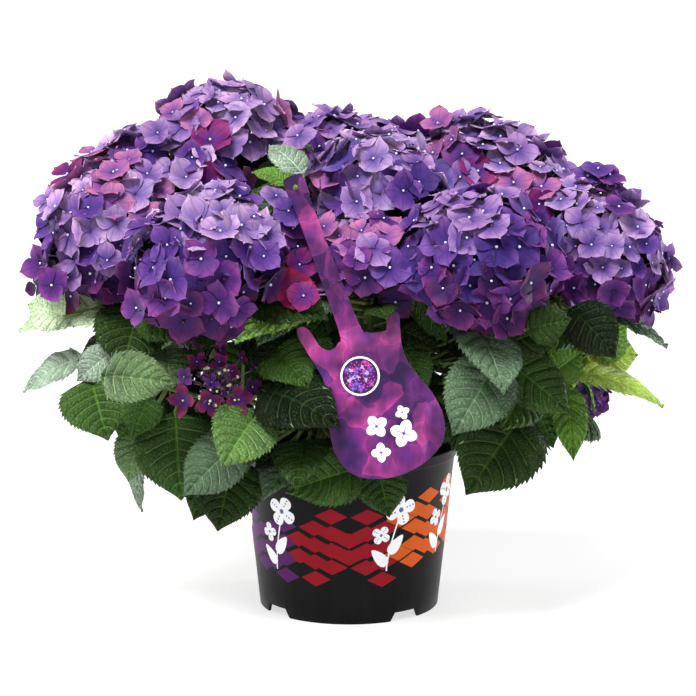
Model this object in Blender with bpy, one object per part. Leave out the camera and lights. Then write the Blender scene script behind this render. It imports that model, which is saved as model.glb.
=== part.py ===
"""A mophead hydrangea in flower, standing in its black nursery pot with a hanging plant label.

Units are metres, +Z is up, the ground is z = 0 and the origin lies under the middle of the pot.
The front of the plant faces -Y. One short woody stock stands on the soil and carries every cane.
Each shoot is three solids that meet end to end: a bare cane, a leafy stem and a flower head.
"""

import math
import random
from collections import namedtuple

import bmesh
import bpy
from mathutils import Matrix, Quaternion, Vector
from mathutils.bvhtree import BVHTree

# ---------------------------------------------------------------- driving dimensions

CLEARANCE = 0.0003  # between solids that touch on the real plant

POT_HEIGHT = 0.178
POT_FOOT_RADIUS = 0.0968
POT_RIM_RADIUS = 0.1155
POT_WALL = 0.0020
POT_LIP = 0.0030  # how far the rim's collar stands out
POT_COLLAR = 0.012  # height of that collar
POT_FLOOR = 0.011  # the floor's height above the ground, inside the foot ring
POT_SIDES = 40
NOTCH_COUNT = 4
NOTCH_FIRST = math.radians(-52)  # azimuth of the first drain notch
NOTCH_HEIGHT = 0.0095
NOTCH_WIDTH = 0.037
NOTCH_TOP_WIDTH = 0.027
SOIL_TOP = 0.160

STOCK_HEIGHT = 0.050
STOCK_RADIUS = 0.0155
STOCK_FLARE = 0.0230
CANE_RADIUS = 0.0036
HEEL = 0.006  # how far a cane runs straight out of the stock before it turns up
SPLAY = 0.60  # how far out a shoot is when it bends upwards, as a share of its reach
STEM_RADIUS = 0.0032
TIP_RADIUS = 0.0024
CANE_SHARE = 0.30  # share of a shoot's run that is bare cane
LEAFY_END = 0.96  # share of the run where the flower's own stalk takes over

LABEL_LENGTH = 0.318
LABEL_THICKNESS = 0.0012
LABEL_HOLE = Vector((-0.0530, -0.1480, 0.4680))  # the label shoot passes through it
LABEL_FOOT = Vector((0.0560, -0.2090, 0.1850))
LABEL_HOLE_RADIUS = 0.0031
LABEL_HOLE_INSET = 0.012  # from the head's top edge
SHORT_HORN = 0.017  # how much shorter the right horn is

FLORETS = 12  # flowers on a head, fewer and larger than life
FLORET_REACH = 0.0290
CORE_SHARE = 0.72  # a head's solid middle, as a share of its radius
HEAD_SQUASH = 0.88  # a head's height as a share of its width
HEAD_WRAP = math.radians(112)  # how far round its underside a head flowers

LEAF_LENGTH = 0.098
LEAF_ASPECT = 0.66
LEAF_THICKNESS = 0.015  # share of the blade's length
BLADE_STATIONS = ((0.28, 0.98), (0.66, 0.86))  # along the blade, and its width there as a share
LEAF_ARCH = 0.09
LEAF_FOLD = 0.22
PETIOLE_LENGTH = 0.030
PETIOLE_RADIUS = 0.0016
MARGIN = 0.0009  # grown round a leaf while looking for its room
SKIRT_HEIGHT = 0.150  # a paired leaf's tip hangs no lower than this at the skirt's reach
SKIRT_REACH = 0.190
SKIRT_RISE = 0.8  # how much higher for each metre further out

HEART = Vector((0.0, 0.0, 0.215))  # where the shoots fan out from
UP = Vector((0.0, 0.0, 1.0))
GOLDEN = math.pi * (3 - math.sqrt(5))

# ---------------------------------------------------------------- what grows

# A shoot ends in a flower head of this radius round this centre, or with radius 0 in a bud at this point.
Shoot = namedtuple("Shoot", "name end radius")
SHOOTS = (
    Shoot("far_left", (-0.255, -0.030, 0.408), 0.081),
    Shoot("front_left", (-0.144, -0.152, 0.392), 0.086),
    Shoot("top_left", (-0.138, 0.080, 0.492), 0.083),
    Shoot("middle_back", (-0.030, 0.130, 0.462), 0.072),
    Shoot("centre", (0.028, -0.030, 0.456), 0.074),
    Shoot("centre_low", (0.020, -0.135, 0.386), 0.050),
    Shoot("front_right", (0.1335, -0.150, 0.394), 0.086),
    Shoot("top_right", (0.150, 0.070, 0.457), 0.076),
    Shoot("far_right", (0.271, -0.010, 0.379), 0.080),
    Shoot("back_left", (-0.210, 0.138, 0.365), 0.080),
    Shoot("back_centre", (0.030, 0.161, 0.350), 0.080),
    Shoot("back_right", (0.200, 0.150, 0.350), 0.078),
    Shoot("young_left", (-0.133, -0.163, 0.269), 0.036),
    Shoot("low_right", (0.262, 0.045, 0.222), 0.026),
    Shoot("sprig_left", (-0.205, -0.112, 0.262), 0.0),
    Shoot("sprig_front", (-0.045, -0.128, 0.228), 0.0),
    Shoot("sprig_right", (0.205, -0.075, 0.270), 0.0),
    Shoot("label", tuple(LABEL_HOLE), 0.0),
)

# Side lobes of some heads: they close the crown between one head and the next.
LOBES = (
    Shoot("top_left", (-0.156, 0.006, 0.454), 0.055),
    Shoot("centre", (0.078, -0.075, 0.428), 0.045),
    Shoot("top_right", (0.202, 0.022, 0.442), 0.050),
    Shoot("far_left", (-0.236, 0.033, 0.464), 0.054),
    Shoot("middle_back", (0.045, 0.118, 0.472), 0.050),
)

# The leaves that show most, by shoot: where the blade starts, its tip, its width and the way it faces.
LeadLeaf = namedtuple("LeadLeaf", "shoot base tip width facing")
TO_FRONT = Vector((0.0, -0.93, 0.37))
TO_SKY = Vector((0.0, -0.45, 0.89))
TO_LEFT = Vector((-0.7, -0.5, 0.5))
LEAD_LEAVES = (
    LeadLeaf("front_right", (0.151, -0.160, 0.295), (0.103, -0.200, 0.226), 0.068, TO_FRONT),
    LeadLeaf("sprig_front", (0.013, -0.140, 0.179), (-0.065, -0.172, 0.160), 0.060, TO_FRONT),
    LeadLeaf("label", (-0.024, -0.125, 0.343), (-0.115, -0.170, 0.317), 0.048, TO_SKY),
    LeadLeaf("sprig_front", (-0.092, -0.164, 0.242), (-0.130, -0.202, 0.184), 0.064, TO_FRONT),
    LeadLeaf("sprig_left", (-0.249, -0.160, 0.278), (-0.173, -0.192, 0.278), 0.050, TO_FRONT),
    LeadLeaf("far_left", (-0.235, -0.040, 0.330), (-0.350, -0.034, 0.304), 0.062, TO_SKY),
    LeadLeaf("sprig_left", (-0.277, -0.060, 0.279), (-0.345, -0.050, 0.241), 0.048, TO_SKY),
    LeadLeaf("far_left", (-0.219, -0.050, 0.335), (-0.232, -0.120, 0.276), 0.078, TO_FRONT),
    LeadLeaf("sprig_left", (-0.268, -0.088, 0.262), (-0.248, -0.128, 0.206), 0.074, TO_FRONT),
    LeadLeaf("sprig_left", (-0.180, -0.108, 0.230), (-0.172, -0.146, 0.146), 0.084, TO_FRONT),
    LeadLeaf("sprig_front", (-0.111, -0.140, 0.207), (-0.168, -0.168, 0.157), 0.056, TO_FRONT),
    LeadLeaf("sprig_front", (-0.117, -0.118, 0.186), (-0.135, -0.150, 0.115), 0.070, TO_FRONT),
    LeadLeaf("sprig_left", (-0.216, -0.060, 0.184), (-0.219, -0.068, 0.115), 0.028, TO_LEFT),
    LeadLeaf("sprig_right", (0.182, -0.120, 0.234), (0.119, -0.160, 0.156), 0.088, TO_FRONT),
    LeadLeaf("front_right", (0.159, -0.135, 0.289), (0.223, -0.160, 0.240), 0.054, TO_FRONT),
    LeadLeaf("front_right", (0.156, -0.140, 0.305), (0.220, -0.165, 0.334), 0.046, TO_FRONT),
    LeadLeaf("front_right", (0.062, -0.100, 0.378), (0.101, -0.125, 0.305), 0.036, TO_LEFT),
    LeadLeaf("sprig_right", (0.225, -0.080, 0.268), (0.333, -0.055, 0.227), 0.042, TO_SKY),
    LeadLeaf("far_right", (0.228, -0.104, 0.339), (0.273, -0.128, 0.291), 0.052, TO_FRONT),
    LeadLeaf("sprig_right", (0.236, -0.048, 0.281), (0.308, -0.030, 0.277), 0.056, TO_FRONT),
    LeadLeaf("sprig_right", (0.228, -0.060, 0.250), (0.234, -0.095, 0.176), 0.036, TO_FRONT),
    LeadLeaf("sprig_right", (0.190, -0.060, 0.238), (0.214, -0.085, 0.188), 0.044, TO_FRONT),
    LeadLeaf("sprig_front", (0.027, -0.128, 0.186), (0.041, -0.160, 0.134), 0.052, TO_FRONT),
    LeadLeaf("centre_low", (0.052, -0.110, 0.305), (0.079, -0.140, 0.256), 0.040, TO_FRONT),
    LeadLeaf("sprig_front", (-0.020, -0.095, 0.250), (-0.081, -0.120, 0.198), 0.054, TO_FRONT),
    LeadLeaf("label", (-0.050, -0.105, 0.284), (-0.086, -0.130, 0.226), 0.050, TO_FRONT),
    LeadLeaf("front_left", (-0.086, -0.100, 0.292), (-0.146, -0.120, 0.257), 0.052, TO_FRONT),
    LeadLeaf("front_left", (-0.190, -0.075, 0.290), (-0.180, -0.105, 0.236), 0.056, TO_FRONT),
    LeadLeaf("label", (-0.059, -0.100, 0.465), (-0.100, -0.085, 0.478), 0.030, TO_SKY),
    LeadLeaf("label", (-0.047, -0.085, 0.474), (-0.084, -0.050, 0.494), 0.036, TO_SKY),
    LeadLeaf("sprig_left", (-0.217, -0.085, 0.212), (-0.230, -0.102, 0.155), 0.042, TO_FRONT),
    LeadLeaf("front_right", (0.176, -0.192, 0.331), (0.2085, -0.212, 0.360), 0.036, TO_FRONT),
)

# The other leaves stand in opposite pairs, each pair turned a quarter from the last.
PAIR_SHARES = (0.05, 0.24, 0.43, 0.62, 0.80, 0.95)  # along the leafy stem
# A leaf that has no room tries again, pitched and turned by these degrees.
NUDGES = ((0, 0), (9, 0), (-9, 0), (18, 0), (-18, 0), (6, 14), (6, -14), (-12, 20), (-12, -20), (30, 0))

Leaf = namedtuple("Leaf", "root base tip normal width")
Floret = namedtuple("Floret", "centre normal spin reach")


# ---------------------------------------------------------------- solids as (points, faces)


def tube(points, radii, sides):
    """A closed round limb through the points, with a flat cut at each end."""
    points = [Vector(p) for p in points]
    rings, last = [], len(points) - 1
    across = (points[1] - points[0]).orthogonal()
    for i, point in enumerate(points):
        along = (points[min(i + 1, last)] - points[max(i - 1, 0)]).normalized()
        across = (across - along * across.dot(along)).normalized()
        beside = along.cross(across)
        for k in range(sides):
            turn = 2 * math.pi * k / sides
            rings.append(point + (across * math.cos(turn) + beside * math.sin(turn)) * radii[i])
    faces = [tuple(reversed(range(sides))), tuple(range(last * sides, last * sides + sides))]
    for i in range(last):
        for k in range(sides):
            near, far = i * sides + k, i * sides + (k + 1) % sides
            faces.append((near, far, far + sides, near + sides))
    return rings, faces


def curve_point(ends, share):
    """A point on the quadratic curve with these three control points."""
    first, middle, last = ends
    return first * (1 - share) ** 2 + middle * 2 * share * (1 - share) + last * share**2


def stretch(ends, start, stop, pieces):
    """Points along part of that curve."""
    return [curve_point(ends, start + (stop - start) * i / pieces) for i in range(pieces + 1)]


def leaf_axes(leaf):
    """(along, side, normal) of a leaf's blade."""
    along = (leaf.tip - leaf.base).normalized()
    normal = (leaf.normal - along * leaf.normal.dot(along)).normalized()
    return along, along.cross(normal), normal


def leaf_rings(leaf, grow):
    """A leaf's four-sided sections from its root to its tip: two along the stalk, then the blade's."""
    along, side, normal = leaf_axes(leaf)
    length = (leaf.tip - leaf.base).length
    stalk = (leaf.base - leaf.root).normalized()
    rings = []
    for place, way, size in ((leaf.root, stalk, 1.2), (leaf.base, stalk + along, 1.0)):
        way = way.normalized()
        up = (normal - way * normal.dot(way)).normalized()
        beside = way.cross(up)
        beside *= PETIOLE_RADIUS * size + grow
        up *= PETIOLE_RADIUS * size + grow
        rings.append([place - beside, place + up, place + beside, place - up])
    thick = length * LEAF_THICKNESS / 2 + grow
    for share, width_share in BLADE_STATIONS:
        half = leaf.width * width_share / 2
        middle = leaf.base + along * length * share + normal * LEAF_ARCH * length * 4 * share * (1 - share)
        edge = middle + normal * half * LEAF_FOLD
        out, up = side * (half + grow), normal * thick
        rings.append([edge - out, middle + up, edge + out, middle - up])
    return rings, leaf.tip + along * grow


def ringed(rings, tip):
    """A closed body through four-sided sections to a point."""
    points = [p for ring in rings for p in ring] + [tip]
    last = 4 * len(rings) - 4
    faces = [(0, 1, 2, 3)]
    for ring in range(0, last, 4):
        for k in range(4):
            after = (k + 1) % 4
            faces += [(ring + k, ring + after, ring + after + 4), (ring + k, ring + after + 4, ring + k + 4)]
    faces += [(last + k, last + (k + 1) % 4, last + 4) for k in range(4)]
    return points, faces


def blade(leaf, grow=0.0):
    """A pointed oval blade, folded up along its midrib and arched from end to end."""
    rings, tip = leaf_rings(leaf, grow)
    return ringed(rings[1:], tip)


def petiole(leaf, grow=0.0):
    """The leaf's stalk, from inside its stem to its blade."""
    return tube((leaf.root, leaf.base), (PETIOLE_RADIUS * 1.2 + grow, PETIOLE_RADIUS + grow), 4)


def whole_leaf(leaf):
    """Stalk and blade as one closed body."""
    return ringed(*leaf_rings(leaf, 0.0))


def flower(floret, depth):
    """Four square-ended sepals in one shallow cup, on a four-sided stalk that widens to meet them."""
    across = floret.normal.orthogonal().normalized()
    beside = floret.normal.cross(across)
    points = [floret.centre, floret.centre - floret.normal * depth]
    for sepal in range(4):
        for degrees, share in ((-45, 0.50), (-21, 1.0), (21, 1.0)):
            turn = floret.spin + math.radians(90 * sepal + degrees)
            out = (across * math.cos(turn) + beside * math.sin(turn)) * floret.reach * share
            points.append(floret.centre + out - floret.normal * 0.06 * share * floret.reach)
    faces = [(0, 2 + k, 2 + (k + 1) % 12) for k in range(12)]
    for sepal in range(4):
        notch, first, last, after = (2 + (3 * sepal + k) % 12 for k in range(4))
        faces += [(after, first, notch), (after, last, first), (1, after, notch)]
    return points, faces


def ball(centre, axis, radius, squash):
    """A closed faceted ball, flattened along its axis."""
    rings, sides = 4, 8
    turn = UP.rotation_difference(axis)
    points = [Vector((0, 0, radius * squash)), Vector((0, 0, -radius * squash))]
    for i in range(1, rings + 1):
        polar = math.pi * i / (rings + 1)
        for k in range(sides):
            round_it = 2 * math.pi * (k + 0.5 * (i % 2)) / sides
            out = radius * math.sin(polar)
            level = radius * squash * math.cos(polar)
            points.append(Vector((out * math.cos(round_it), out * math.sin(round_it), level)))
    faces = []
    for k in range(sides):
        after = (k + 1) % sides
        faces += [(0, 2 + k, 2 + after), (1, 2 + (rings - 1) * sides + after, 2 + (rings - 1) * sides + k)]
        for i in range(rings - 1):
            near, far = 2 + i * sides + k, 2 + i * sides + after
            shifted = (near, near + sides, far), (far, near + sides, far + sides)
            straight = (near, far + sides, far), (near, near + sides, far + sides)
            faces += shifted if i % 2 else straight
    return [centre + turn @ p for p in points], faces


# ---------------------------------------------------------------- rooms in the crown


class Crown:
    """Keeps every solid's surface, so that nothing new grows through it."""

    def __init__(self):
        self.items = []

    def add(self, owner, kind, solid):
        points, faces = solid
        self.items.append((owner, kind, *corners_of(points), BVHTree.FromPolygons(points, faces)))

    def has_room(self, solid, owner="", kinds=()):
        """True if the solid crosses nothing but the owner's own pieces of these kinds."""
        points, faces = solid
        low, high = corners_of(points)
        tree = None
        for other, kind, other_low, other_high, other_tree in self.items:
            if other == owner and kind in kinds:
                continue
            if any(low[k] > other_high[k] or high[k] < other_low[k] for k in range(3)):
                continue
            tree = tree or BVHTree.FromPolygons(points, faces)
            if tree.overlap(other_tree):
                return False
        return True


def corners_of(points):
    return tuple(tuple(pick(p[k] for p in points) for k in range(3)) for pick in (min, max))


# ---------------------------------------------------------------- the growing rule


def shoot_curves():
    """Each shoot's heel on the stock, with the three control points of its run from there to its end."""
    order = sorted(SHOOTS, key=lambda shoot: math.atan2(shoot.end[1], shoot.end[0]))
    curves = {}
    for rank, shoot in enumerate(order):
        turn = -math.pi + 2 * math.pi * (rank + 0.5) / len(order)
        outward = Vector((math.cos(turn), math.sin(turn), 0))
        height = SOIL_TOP + STOCK_HEIGHT * (0.44 if rank % 2 else 0.70)
        heel = outward * (STOCK_RADIUS * math.cos(math.pi / len(order)) + CLEARANCE) + UP * height
        start = heel + outward * HEEL
        end = Vector(shoot.end)
        if shoot.radius:
            end -= head_axis(shoot) * shoot.radius * CORE_SHARE * 0.9
        if shoot.name == "label":
            end -= label_axes()[2] * 0.004
            bend = end - label_axes()[2] * 0.085
        else:
            flat = Vector((end.x - start.x, end.y - start.y, 0))
            bend = start + flat * SPLAY + UP * ((1 - SPLAY) * (end.z - start.z) + 0.020)
        curves[shoot.name] = (heel, (start, bend, end))
    return curves


def head_axis(shoot):
    """The way a flower head faces: outwards from the plant's heart, drawn upwards."""
    return ((Vector(shoot.end) - HEART).normalized() + UP * 0.35).normalized()


def head_core(shoot):
    """The solid middle of a flower head or lobe."""
    return ball(Vector(shoot.end), head_axis(shoot), shoot.radius * CORE_SHARE, HEAD_SQUASH)


def head_florets(shoot, axis, count, reach, seed):
    """Florets spread evenly over a head, from its crown to a little way round its underside."""
    chance = random.Random(seed)
    turn = UP.rotation_difference(axis)
    found = []
    for k in range(count):
        polar = math.acos(1 - (k + 0.5) / count * (1 - math.cos(HEAD_WRAP)))
        round_it = k * GOLDEN
        out = Vector((math.cos(round_it), math.sin(round_it), 0)) * math.sin(polar) + UP * math.cos(polar)
        size = reach * chance.uniform(0.90, 1.08)
        spread = shoot.radius - size * 0.06
        place = Vector(shoot.end) + turn @ Vector((out.x, out.y, out.z * HEAD_SQUASH)) * spread
        tilt = Vector([chance.uniform(-0.16, 0.16) for _ in range(3)])
        normal = (turn @ out + tilt).normalized()
        found.append(Floret(place, normal, chance.uniform(0, math.pi / 2), size))
    return found


def in_another_head(point, shoot):
    return any(
        other is not shoot and (point - Vector(other.end)).length < other.radius * 0.92
        for other in SHOOTS + LOBES
    )


def nearest_on(ends, point):
    """The point of a shoot's leafy stem that lies closest below a leaf's blade."""
    shares = [CANE_SHARE + 0.02 + (LEAFY_END - CANE_SHARE - 0.05) * k / 30 for k in range(31)]
    return min((curve_point(ends, s) for s in shares), key=lambda p: (p - point).length)


def pitched(leaf, degrees):
    """The same leaf with its blade pitched and turned about its base."""
    _, side, normal = leaf_axes(leaf)
    turn = Quaternion(side, math.radians(degrees[0])) @ Quaternion(normal, math.radians(degrees[1]))
    return leaf._replace(tip=leaf.base + turn @ (leaf.tip - leaf.base), normal=turn @ normal)


def skirt(point):
    """The height that a paired leaf's tip stays above, so far out."""
    return SKIRT_HEIGHT + SKIRT_RISE * (math.hypot(point.x, point.y) - SKIRT_REACH)


def settle(crown, owner, leaf, led):
    """Places the leaf where it has room and returns it, or None if it finds none."""
    for degrees in NUDGES:
        tried = pitched(leaf, degrees)
        if not led and tried.tip.z < skirt(tried.tip):
            continue
        stalk = petiole(tried, MARGIN)
        if not crown.has_room(blade(tried, MARGIN)):
            continue
        if crown.has_room(stalk, owner, ("stem", "petiole")):
            crown.add(owner, "blade", blade(tried))
            crown.add(owner, "petiole", petiole(tried))
            return tried
    return None


def pair_leaf(ends, share, rank, side_sign, chance):
    """One leaf of an opposite pair on a stem."""
    root = curve_point(ends, share)
    along = (curve_point(ends, share + 0.02) - curve_point(ends, share - 0.02)).normalized()
    level = along.cross(UP).normalized()
    other = level.cross(along).normalized()
    turn = math.radians(90 * (rank % 2) + chance.uniform(-22, 22))
    out = (level * math.cos(turn) + other * math.sin(turn)) * side_sign
    length = LEAF_LENGTH * chance.uniform(0.86, 1.12)
    stalk = PETIOLE_LENGTH * chance.uniform(0.8, 1.3)
    base = root + (out * 0.9 + along * 0.4).normalized() * stalk
    droop = chance.uniform(0.15, 0.75) - (0.30 if rank > 2 else 0.0)
    run = (Vector((out.x, out.y, out.z * 0.3)).normalized() - UP * droop).normalized()
    facing = (UP + Vector((base.x, base.y, 0)).normalized() * 0.9).normalized()
    return Leaf(root, base, base + run * length, facing, length * LEAF_ASPECT)


def grow():
    """Everything that grows: the shoots' curves, each head's solids and each shoot's leaves."""
    crown = Crown()
    curves = shoot_curves()
    pot = tube(((0, 0, 0), (0, 0, POT_HEIGHT)), (POT_FOOT_RADIUS + 0.002, POT_RIM_RADIUS + 0.005), 24)
    crown.add("pot", "pot", pot)
    crown.add("label", "plate", label_plate(MARGIN))
    for name, (heel, ends) in curves.items():
        crown.add(name, "stem", tube([heel, *stretch(ends, 0.0, 1.0, 12)], [CANE_RADIUS + MARGIN] * 14, 6))
    heads = {}
    blooms = [s for s in SHOOTS if s.radius] + list(LOBES)
    for shoot in blooms:
        core = head_core(shoot)
        crown.add(shoot.name, "head", core)
        heads.setdefault(shoot.name, []).append(core)
    for number, shoot in enumerate(blooms):
        small = shoot.radius < 0.06
        reach = 0.52 * shoot.radius if small else FLORET_REACH
        count = 8 if small else FLORETS
        for floret in head_florets(shoot, head_axis(shoot), count, reach, 100 + number):
            shape = flower(floret, shoot.radius * (1 - CORE_SHARE) + 0.006)
            free = crown.has_room(shape, shoot.name, ("stem", "head"))
            if free and not in_another_head(floret.centre, shoot):
                heads[shoot.name].append(shape)
                crown.add(shoot.name, "head", shape)
    leaves = {s.name: [] for s in SHOOTS}
    for lead in LEAD_LEAVES:
        base = Vector(lead.base)
        root = nearest_on(curves[lead.shoot][1], base - UP * 0.01)
        leaf = settle(crown, lead.shoot, Leaf(root, base, Vector(lead.tip), lead.facing, lead.width), True)
        if leaf:
            leaves[lead.shoot].append(leaf)
    for rank, pair_share in enumerate(PAIR_SHARES):
        for number, shoot in enumerate(SHOOTS):
            if shoot.name == "label" and rank > 2:
                continue
            chance = random.Random(1000 * rank + number)
            share = CANE_SHARE + (LEAFY_END - CANE_SHARE) * pair_share
            for side_sign in (1, -1):
                ends = curves[shoot.name][1]
                grown = pair_leaf(ends, share, rank + number, side_sign, chance)
                leaf = settle(crown, shoot.name, grown, False)
                if leaf:
                    leaves[shoot.name].append(leaf)
    return curves, heads, leaves


# ---------------------------------------------------------------- the label


def label_axes():
    """(down its length, across it, out of its face)."""
    down = (LABEL_FOOT - LABEL_HOLE).normalized()
    across = Vector((0, -1, 0)).cross(down).normalized()
    return down, across, down.cross(across)


def label_outline(cut):
    """Half of a plain guitar-shaped outline, its horn cut short: how far down the label, and how far out."""
    half = (
        (0.0, 0.0), (0.0, 0.0065), (0.004, 0.0105), (0.024, 0.0105), (0.031, 0.0092), (0.160, 0.0104),
        (0.176, 0.016), (0.180, 0.026), (0.172 + cut / 2, 0.034), (0.153 + cut, 0.0385), (0.147 + cut, 0.046),
        (0.154 + cut, 0.051), (0.176 + cut / 2, 0.0475), (0.205, 0.0425), (0.228, 0.0450), (0.256, 0.0545),
        (0.284, 0.0570), (0.306, 0.048), (0.319, 0.028), (0.324, 0.0),
    )
    return [(down * LABEL_LENGTH / half[-1][0], out) for down, out in half]


def label_loop():
    """The whole outline: down its right side and up its left."""
    return label_outline(SHORT_HORN) + [(d, -v) for d, v in reversed(label_outline(0.0)[1:-1])]


def label_plate(grow=0.0):
    """The label's flat plate."""
    down, across, out = label_axes()
    loop = label_loop()
    top = LABEL_HOLE - down * LABEL_HOLE_INSET
    face = [top + down * d + across * v for d, v in loop]
    thick = LABEL_THICKNESS / 2 + grow
    points = [p + out * thick for p in face] + [p - out * thick for p in face]
    count = len(face)
    faces = [tuple(range(count)), tuple(reversed(range(count, 2 * count)))]
    faces += [(k, k + count, (k + 1) % count + count, (k + 1) % count) for k in range(count)]
    return points, faces


# ---------------------------------------------------------------- objects in the scene


def clear_scene():
    for old in list(bpy.data.objects):
        bpy.data.objects.remove(old, do_unlink=True)


def material(name, colour, roughness):
    made = bpy.data.materials.new(name)
    made.use_nodes = True
    made.diffuse_color = (*colour, 1.0)
    shader = made.node_tree.nodes["Principled BSDF"]
    shader.inputs["Base Color"].default_value = (*colour, 1.0)
    shader.inputs["Roughness"].default_value = roughness
    shader.inputs["Metallic"].default_value = 0.0
    return made


def mesh_object(name, solid, look):
    """One object from a solid's points and faces, with its faces turned outwards."""
    shape = bmesh.new()
    corners = [shape.verts.new(p) for p in solid[0]]
    for face in solid[1]:
        shape.faces.new([corners[k] for k in face])
    bmesh.ops.recalc_face_normals(shape, faces=shape.faces)
    if shape.calc_volume(signed=True) < 0:
        bmesh.ops.reverse_faces(shape, faces=shape.faces)
    mesh = bpy.data.meshes.new(name)
    shape.to_mesh(mesh)
    shape.free()
    mesh.shade_smooth()
    mesh.set_sharp_from_angle(angle=math.radians(38))
    mesh.materials.append(look)
    made = bpy.data.objects.new(name, mesh)
    bpy.context.scene.collection.objects.link(made)
    return made


def joined(name, solids, look):
    """One closed body from solids that overlap."""
    base = mesh_object(name, solids[0], look)
    others = bpy.data.collections.new(name + "_pieces")
    bpy.context.scene.collection.children.link(others)
    for number, solid in enumerate(solids[1:]):
        piece = mesh_object(f"{name}_{number}", solid, look)
        bpy.context.scene.collection.objects.unlink(piece)
        others.objects.link(piece)
    union = base.modifiers.new("join", "BOOLEAN")
    union.operation = "UNION"
    union.operand_type = "COLLECTION"
    union.collection = others
    union.solver = "MANIFOLD"
    graph = bpy.context.evaluated_depsgraph_get()
    whole = bpy.data.meshes.new_from_object(base.evaluated_get(graph))
    base.modifiers.clear()
    base.data = whole
    for piece in list(others.objects):
        bpy.data.objects.remove(piece, do_unlink=True)
    bpy.data.collections.remove(others)
    keep_largest(base)
    return base


def keep_largest(made):
    """Drops any scrap that isn't joined to the main body."""
    shape = bmesh.new()
    shape.from_mesh(made.data)
    left, groups = set(shape.verts), []
    while left:
        group, edge = set(), [left.pop()]
        while edge:
            corner = edge.pop()
            group.add(corner)
            for link in corner.link_edges:
                other = link.other_vert(corner)
                if other in left:
                    left.remove(other)
                    edge.append(other)
        groups.append(group)
    for group in sorted(groups, key=len)[:-1]:
        bmesh.ops.delete(shape, geom=list(group), context="VERTS")
    shape.to_mesh(made.data)
    shape.free()


def cut(made, cutter):
    """Cuts one object's shape out of another."""
    cutter.hide_render = True
    cutter.display_type = "WIRE"
    modifier = made.modifiers.new("cut", "BOOLEAN")
    modifier.operation = "DIFFERENCE"
    modifier.object = cutter


def wall_radius(height):
    """The pot's outer radius at this height."""
    return POT_FOOT_RADIUS + (POT_RIM_RADIUS - POT_FOOT_RADIUS) * height / POT_HEIGHT


def turned(name, profile, look):
    """A solid turned round Z from a closed profile that starts and ends on the axis."""
    points, faces = [Vector((0, 0, profile[0][1])), Vector((0, 0, profile[-1][1]))], []
    ring = profile[1:-1]
    for radius, height in ring:
        for k in range(POT_SIDES):
            turn = 2 * math.pi * (k + 0.5) / POT_SIDES
            points.append(Vector((radius * math.cos(turn), radius * math.sin(turn), height)))
    for k in range(POT_SIDES):
        after = (k + 1) % POT_SIDES
        faces.append((0, 2 + k, 2 + after))
        last = 2 + (len(ring) - 1) * POT_SIDES
        faces.append((1, last + after, last + k))
        for i in range(len(ring) - 1):
            near, far = 2 + i * POT_SIDES + k, 2 + i * POT_SIDES + after
            faces.append((near, near + POT_SIDES, far + POT_SIDES, far))
    return mesh_object(name, (points, faces), look)


def build_pot(look):
    """A tapered thin-walled pot with a collar at its rim, a raised floor and notches in its foot ring."""
    floor_top = POT_FLOOR + POT_WALL
    collar = POT_HEIGHT - POT_COLLAR
    pot = turned(
        "pot",
        (
            (0, POT_FLOOR),
            (wall_radius(POT_FLOOR) - POT_WALL * 1.4, POT_FLOOR),
            (wall_radius(0) - POT_WALL * 1.4, 0),
            (wall_radius(0), 0),
            (wall_radius(collar), collar),
            (wall_radius(collar) + POT_LIP, collar + POT_LIP * 0.4),
            (wall_radius(POT_HEIGHT) + POT_LIP, POT_HEIGHT),
            (wall_radius(POT_HEIGHT) - POT_WALL + POT_LIP, POT_HEIGHT),
            (wall_radius(collar) - POT_WALL, collar),
            (wall_radius(floor_top) - POT_WALL, floor_top),
            (0, floor_top),
        ),
        look,
    )
    for number in range(NOTCH_COUNT):
        cut(pot, notch_cutter(number, look))
    return pot


def notch_cutter(number, look):
    """A radial wedge under the pot, wide at the ground and narrower above."""
    turn = Matrix.Rotation(NOTCH_FIRST + 2 * math.pi * number / NOTCH_COUNT - math.pi / 2, 4, "Z")
    inner, outer = POT_FOOT_RADIUS * 0.80, POT_FOOT_RADIUS * 1.15
    section = (
        (-NOTCH_WIDTH / 2 - 0.003, -0.006),
        (NOTCH_WIDTH / 2 + 0.003, -0.006),
        (NOTCH_TOP_WIDTH / 2, NOTCH_HEIGHT),
        (-NOTCH_TOP_WIDTH / 2, NOTCH_HEIGHT),
    )
    points = [turn @ Vector((across, reach, up)) for reach in (inner, outer) for across, up in section]
    faces = [(0, 1, 2, 3), (7, 6, 5, 4)] + [(k, k + 4, (k + 1) % 4 + 4, (k + 1) % 4) for k in range(4)]
    return mesh_object(f"notch_cutter_{number}", (points, faces), look)


def build_soil(look):
    """The root ball that fills the pot, flat on top."""
    low, gap = POT_FLOOR + POT_WALL + CLEARANCE, POT_WALL + CLEARANCE * 1.5
    return turned(
        "root_ball",
        ((0, low), (wall_radius(low) - gap, low), (wall_radius(SOIL_TOP) - gap, SOIL_TOP), (0, SOIL_TOP)),
        look,
    )


def build_stock(look):
    """The short woody foot that every cane springs from, flared where it stands on the soil."""
    foot = SOIL_TOP + CLEARANCE
    heights = (foot, foot + 0.006, foot + 0.015, foot + STOCK_HEIGHT * 0.82, foot + STOCK_HEIGHT)
    radii = (STOCK_FLARE, STOCK_FLARE * 0.82, STOCK_RADIUS, STOCK_RADIUS, STOCK_RADIUS * 0.60)
    return mesh_object("stock", tube([(0, 0, h) for h in heights], radii, len(SHOOTS)), look)


def build_label(look):
    plate = mesh_object("plant_label", label_plate(), look)
    _, _, out = label_axes()
    punch = tube((LABEL_HOLE - out * 0.01, LABEL_HOLE + out * 0.01), (LABEL_HOLE_RADIUS,) * 2, 12)
    cut(plate, mesh_object("label_punch", punch, look))
    return plate


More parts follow.
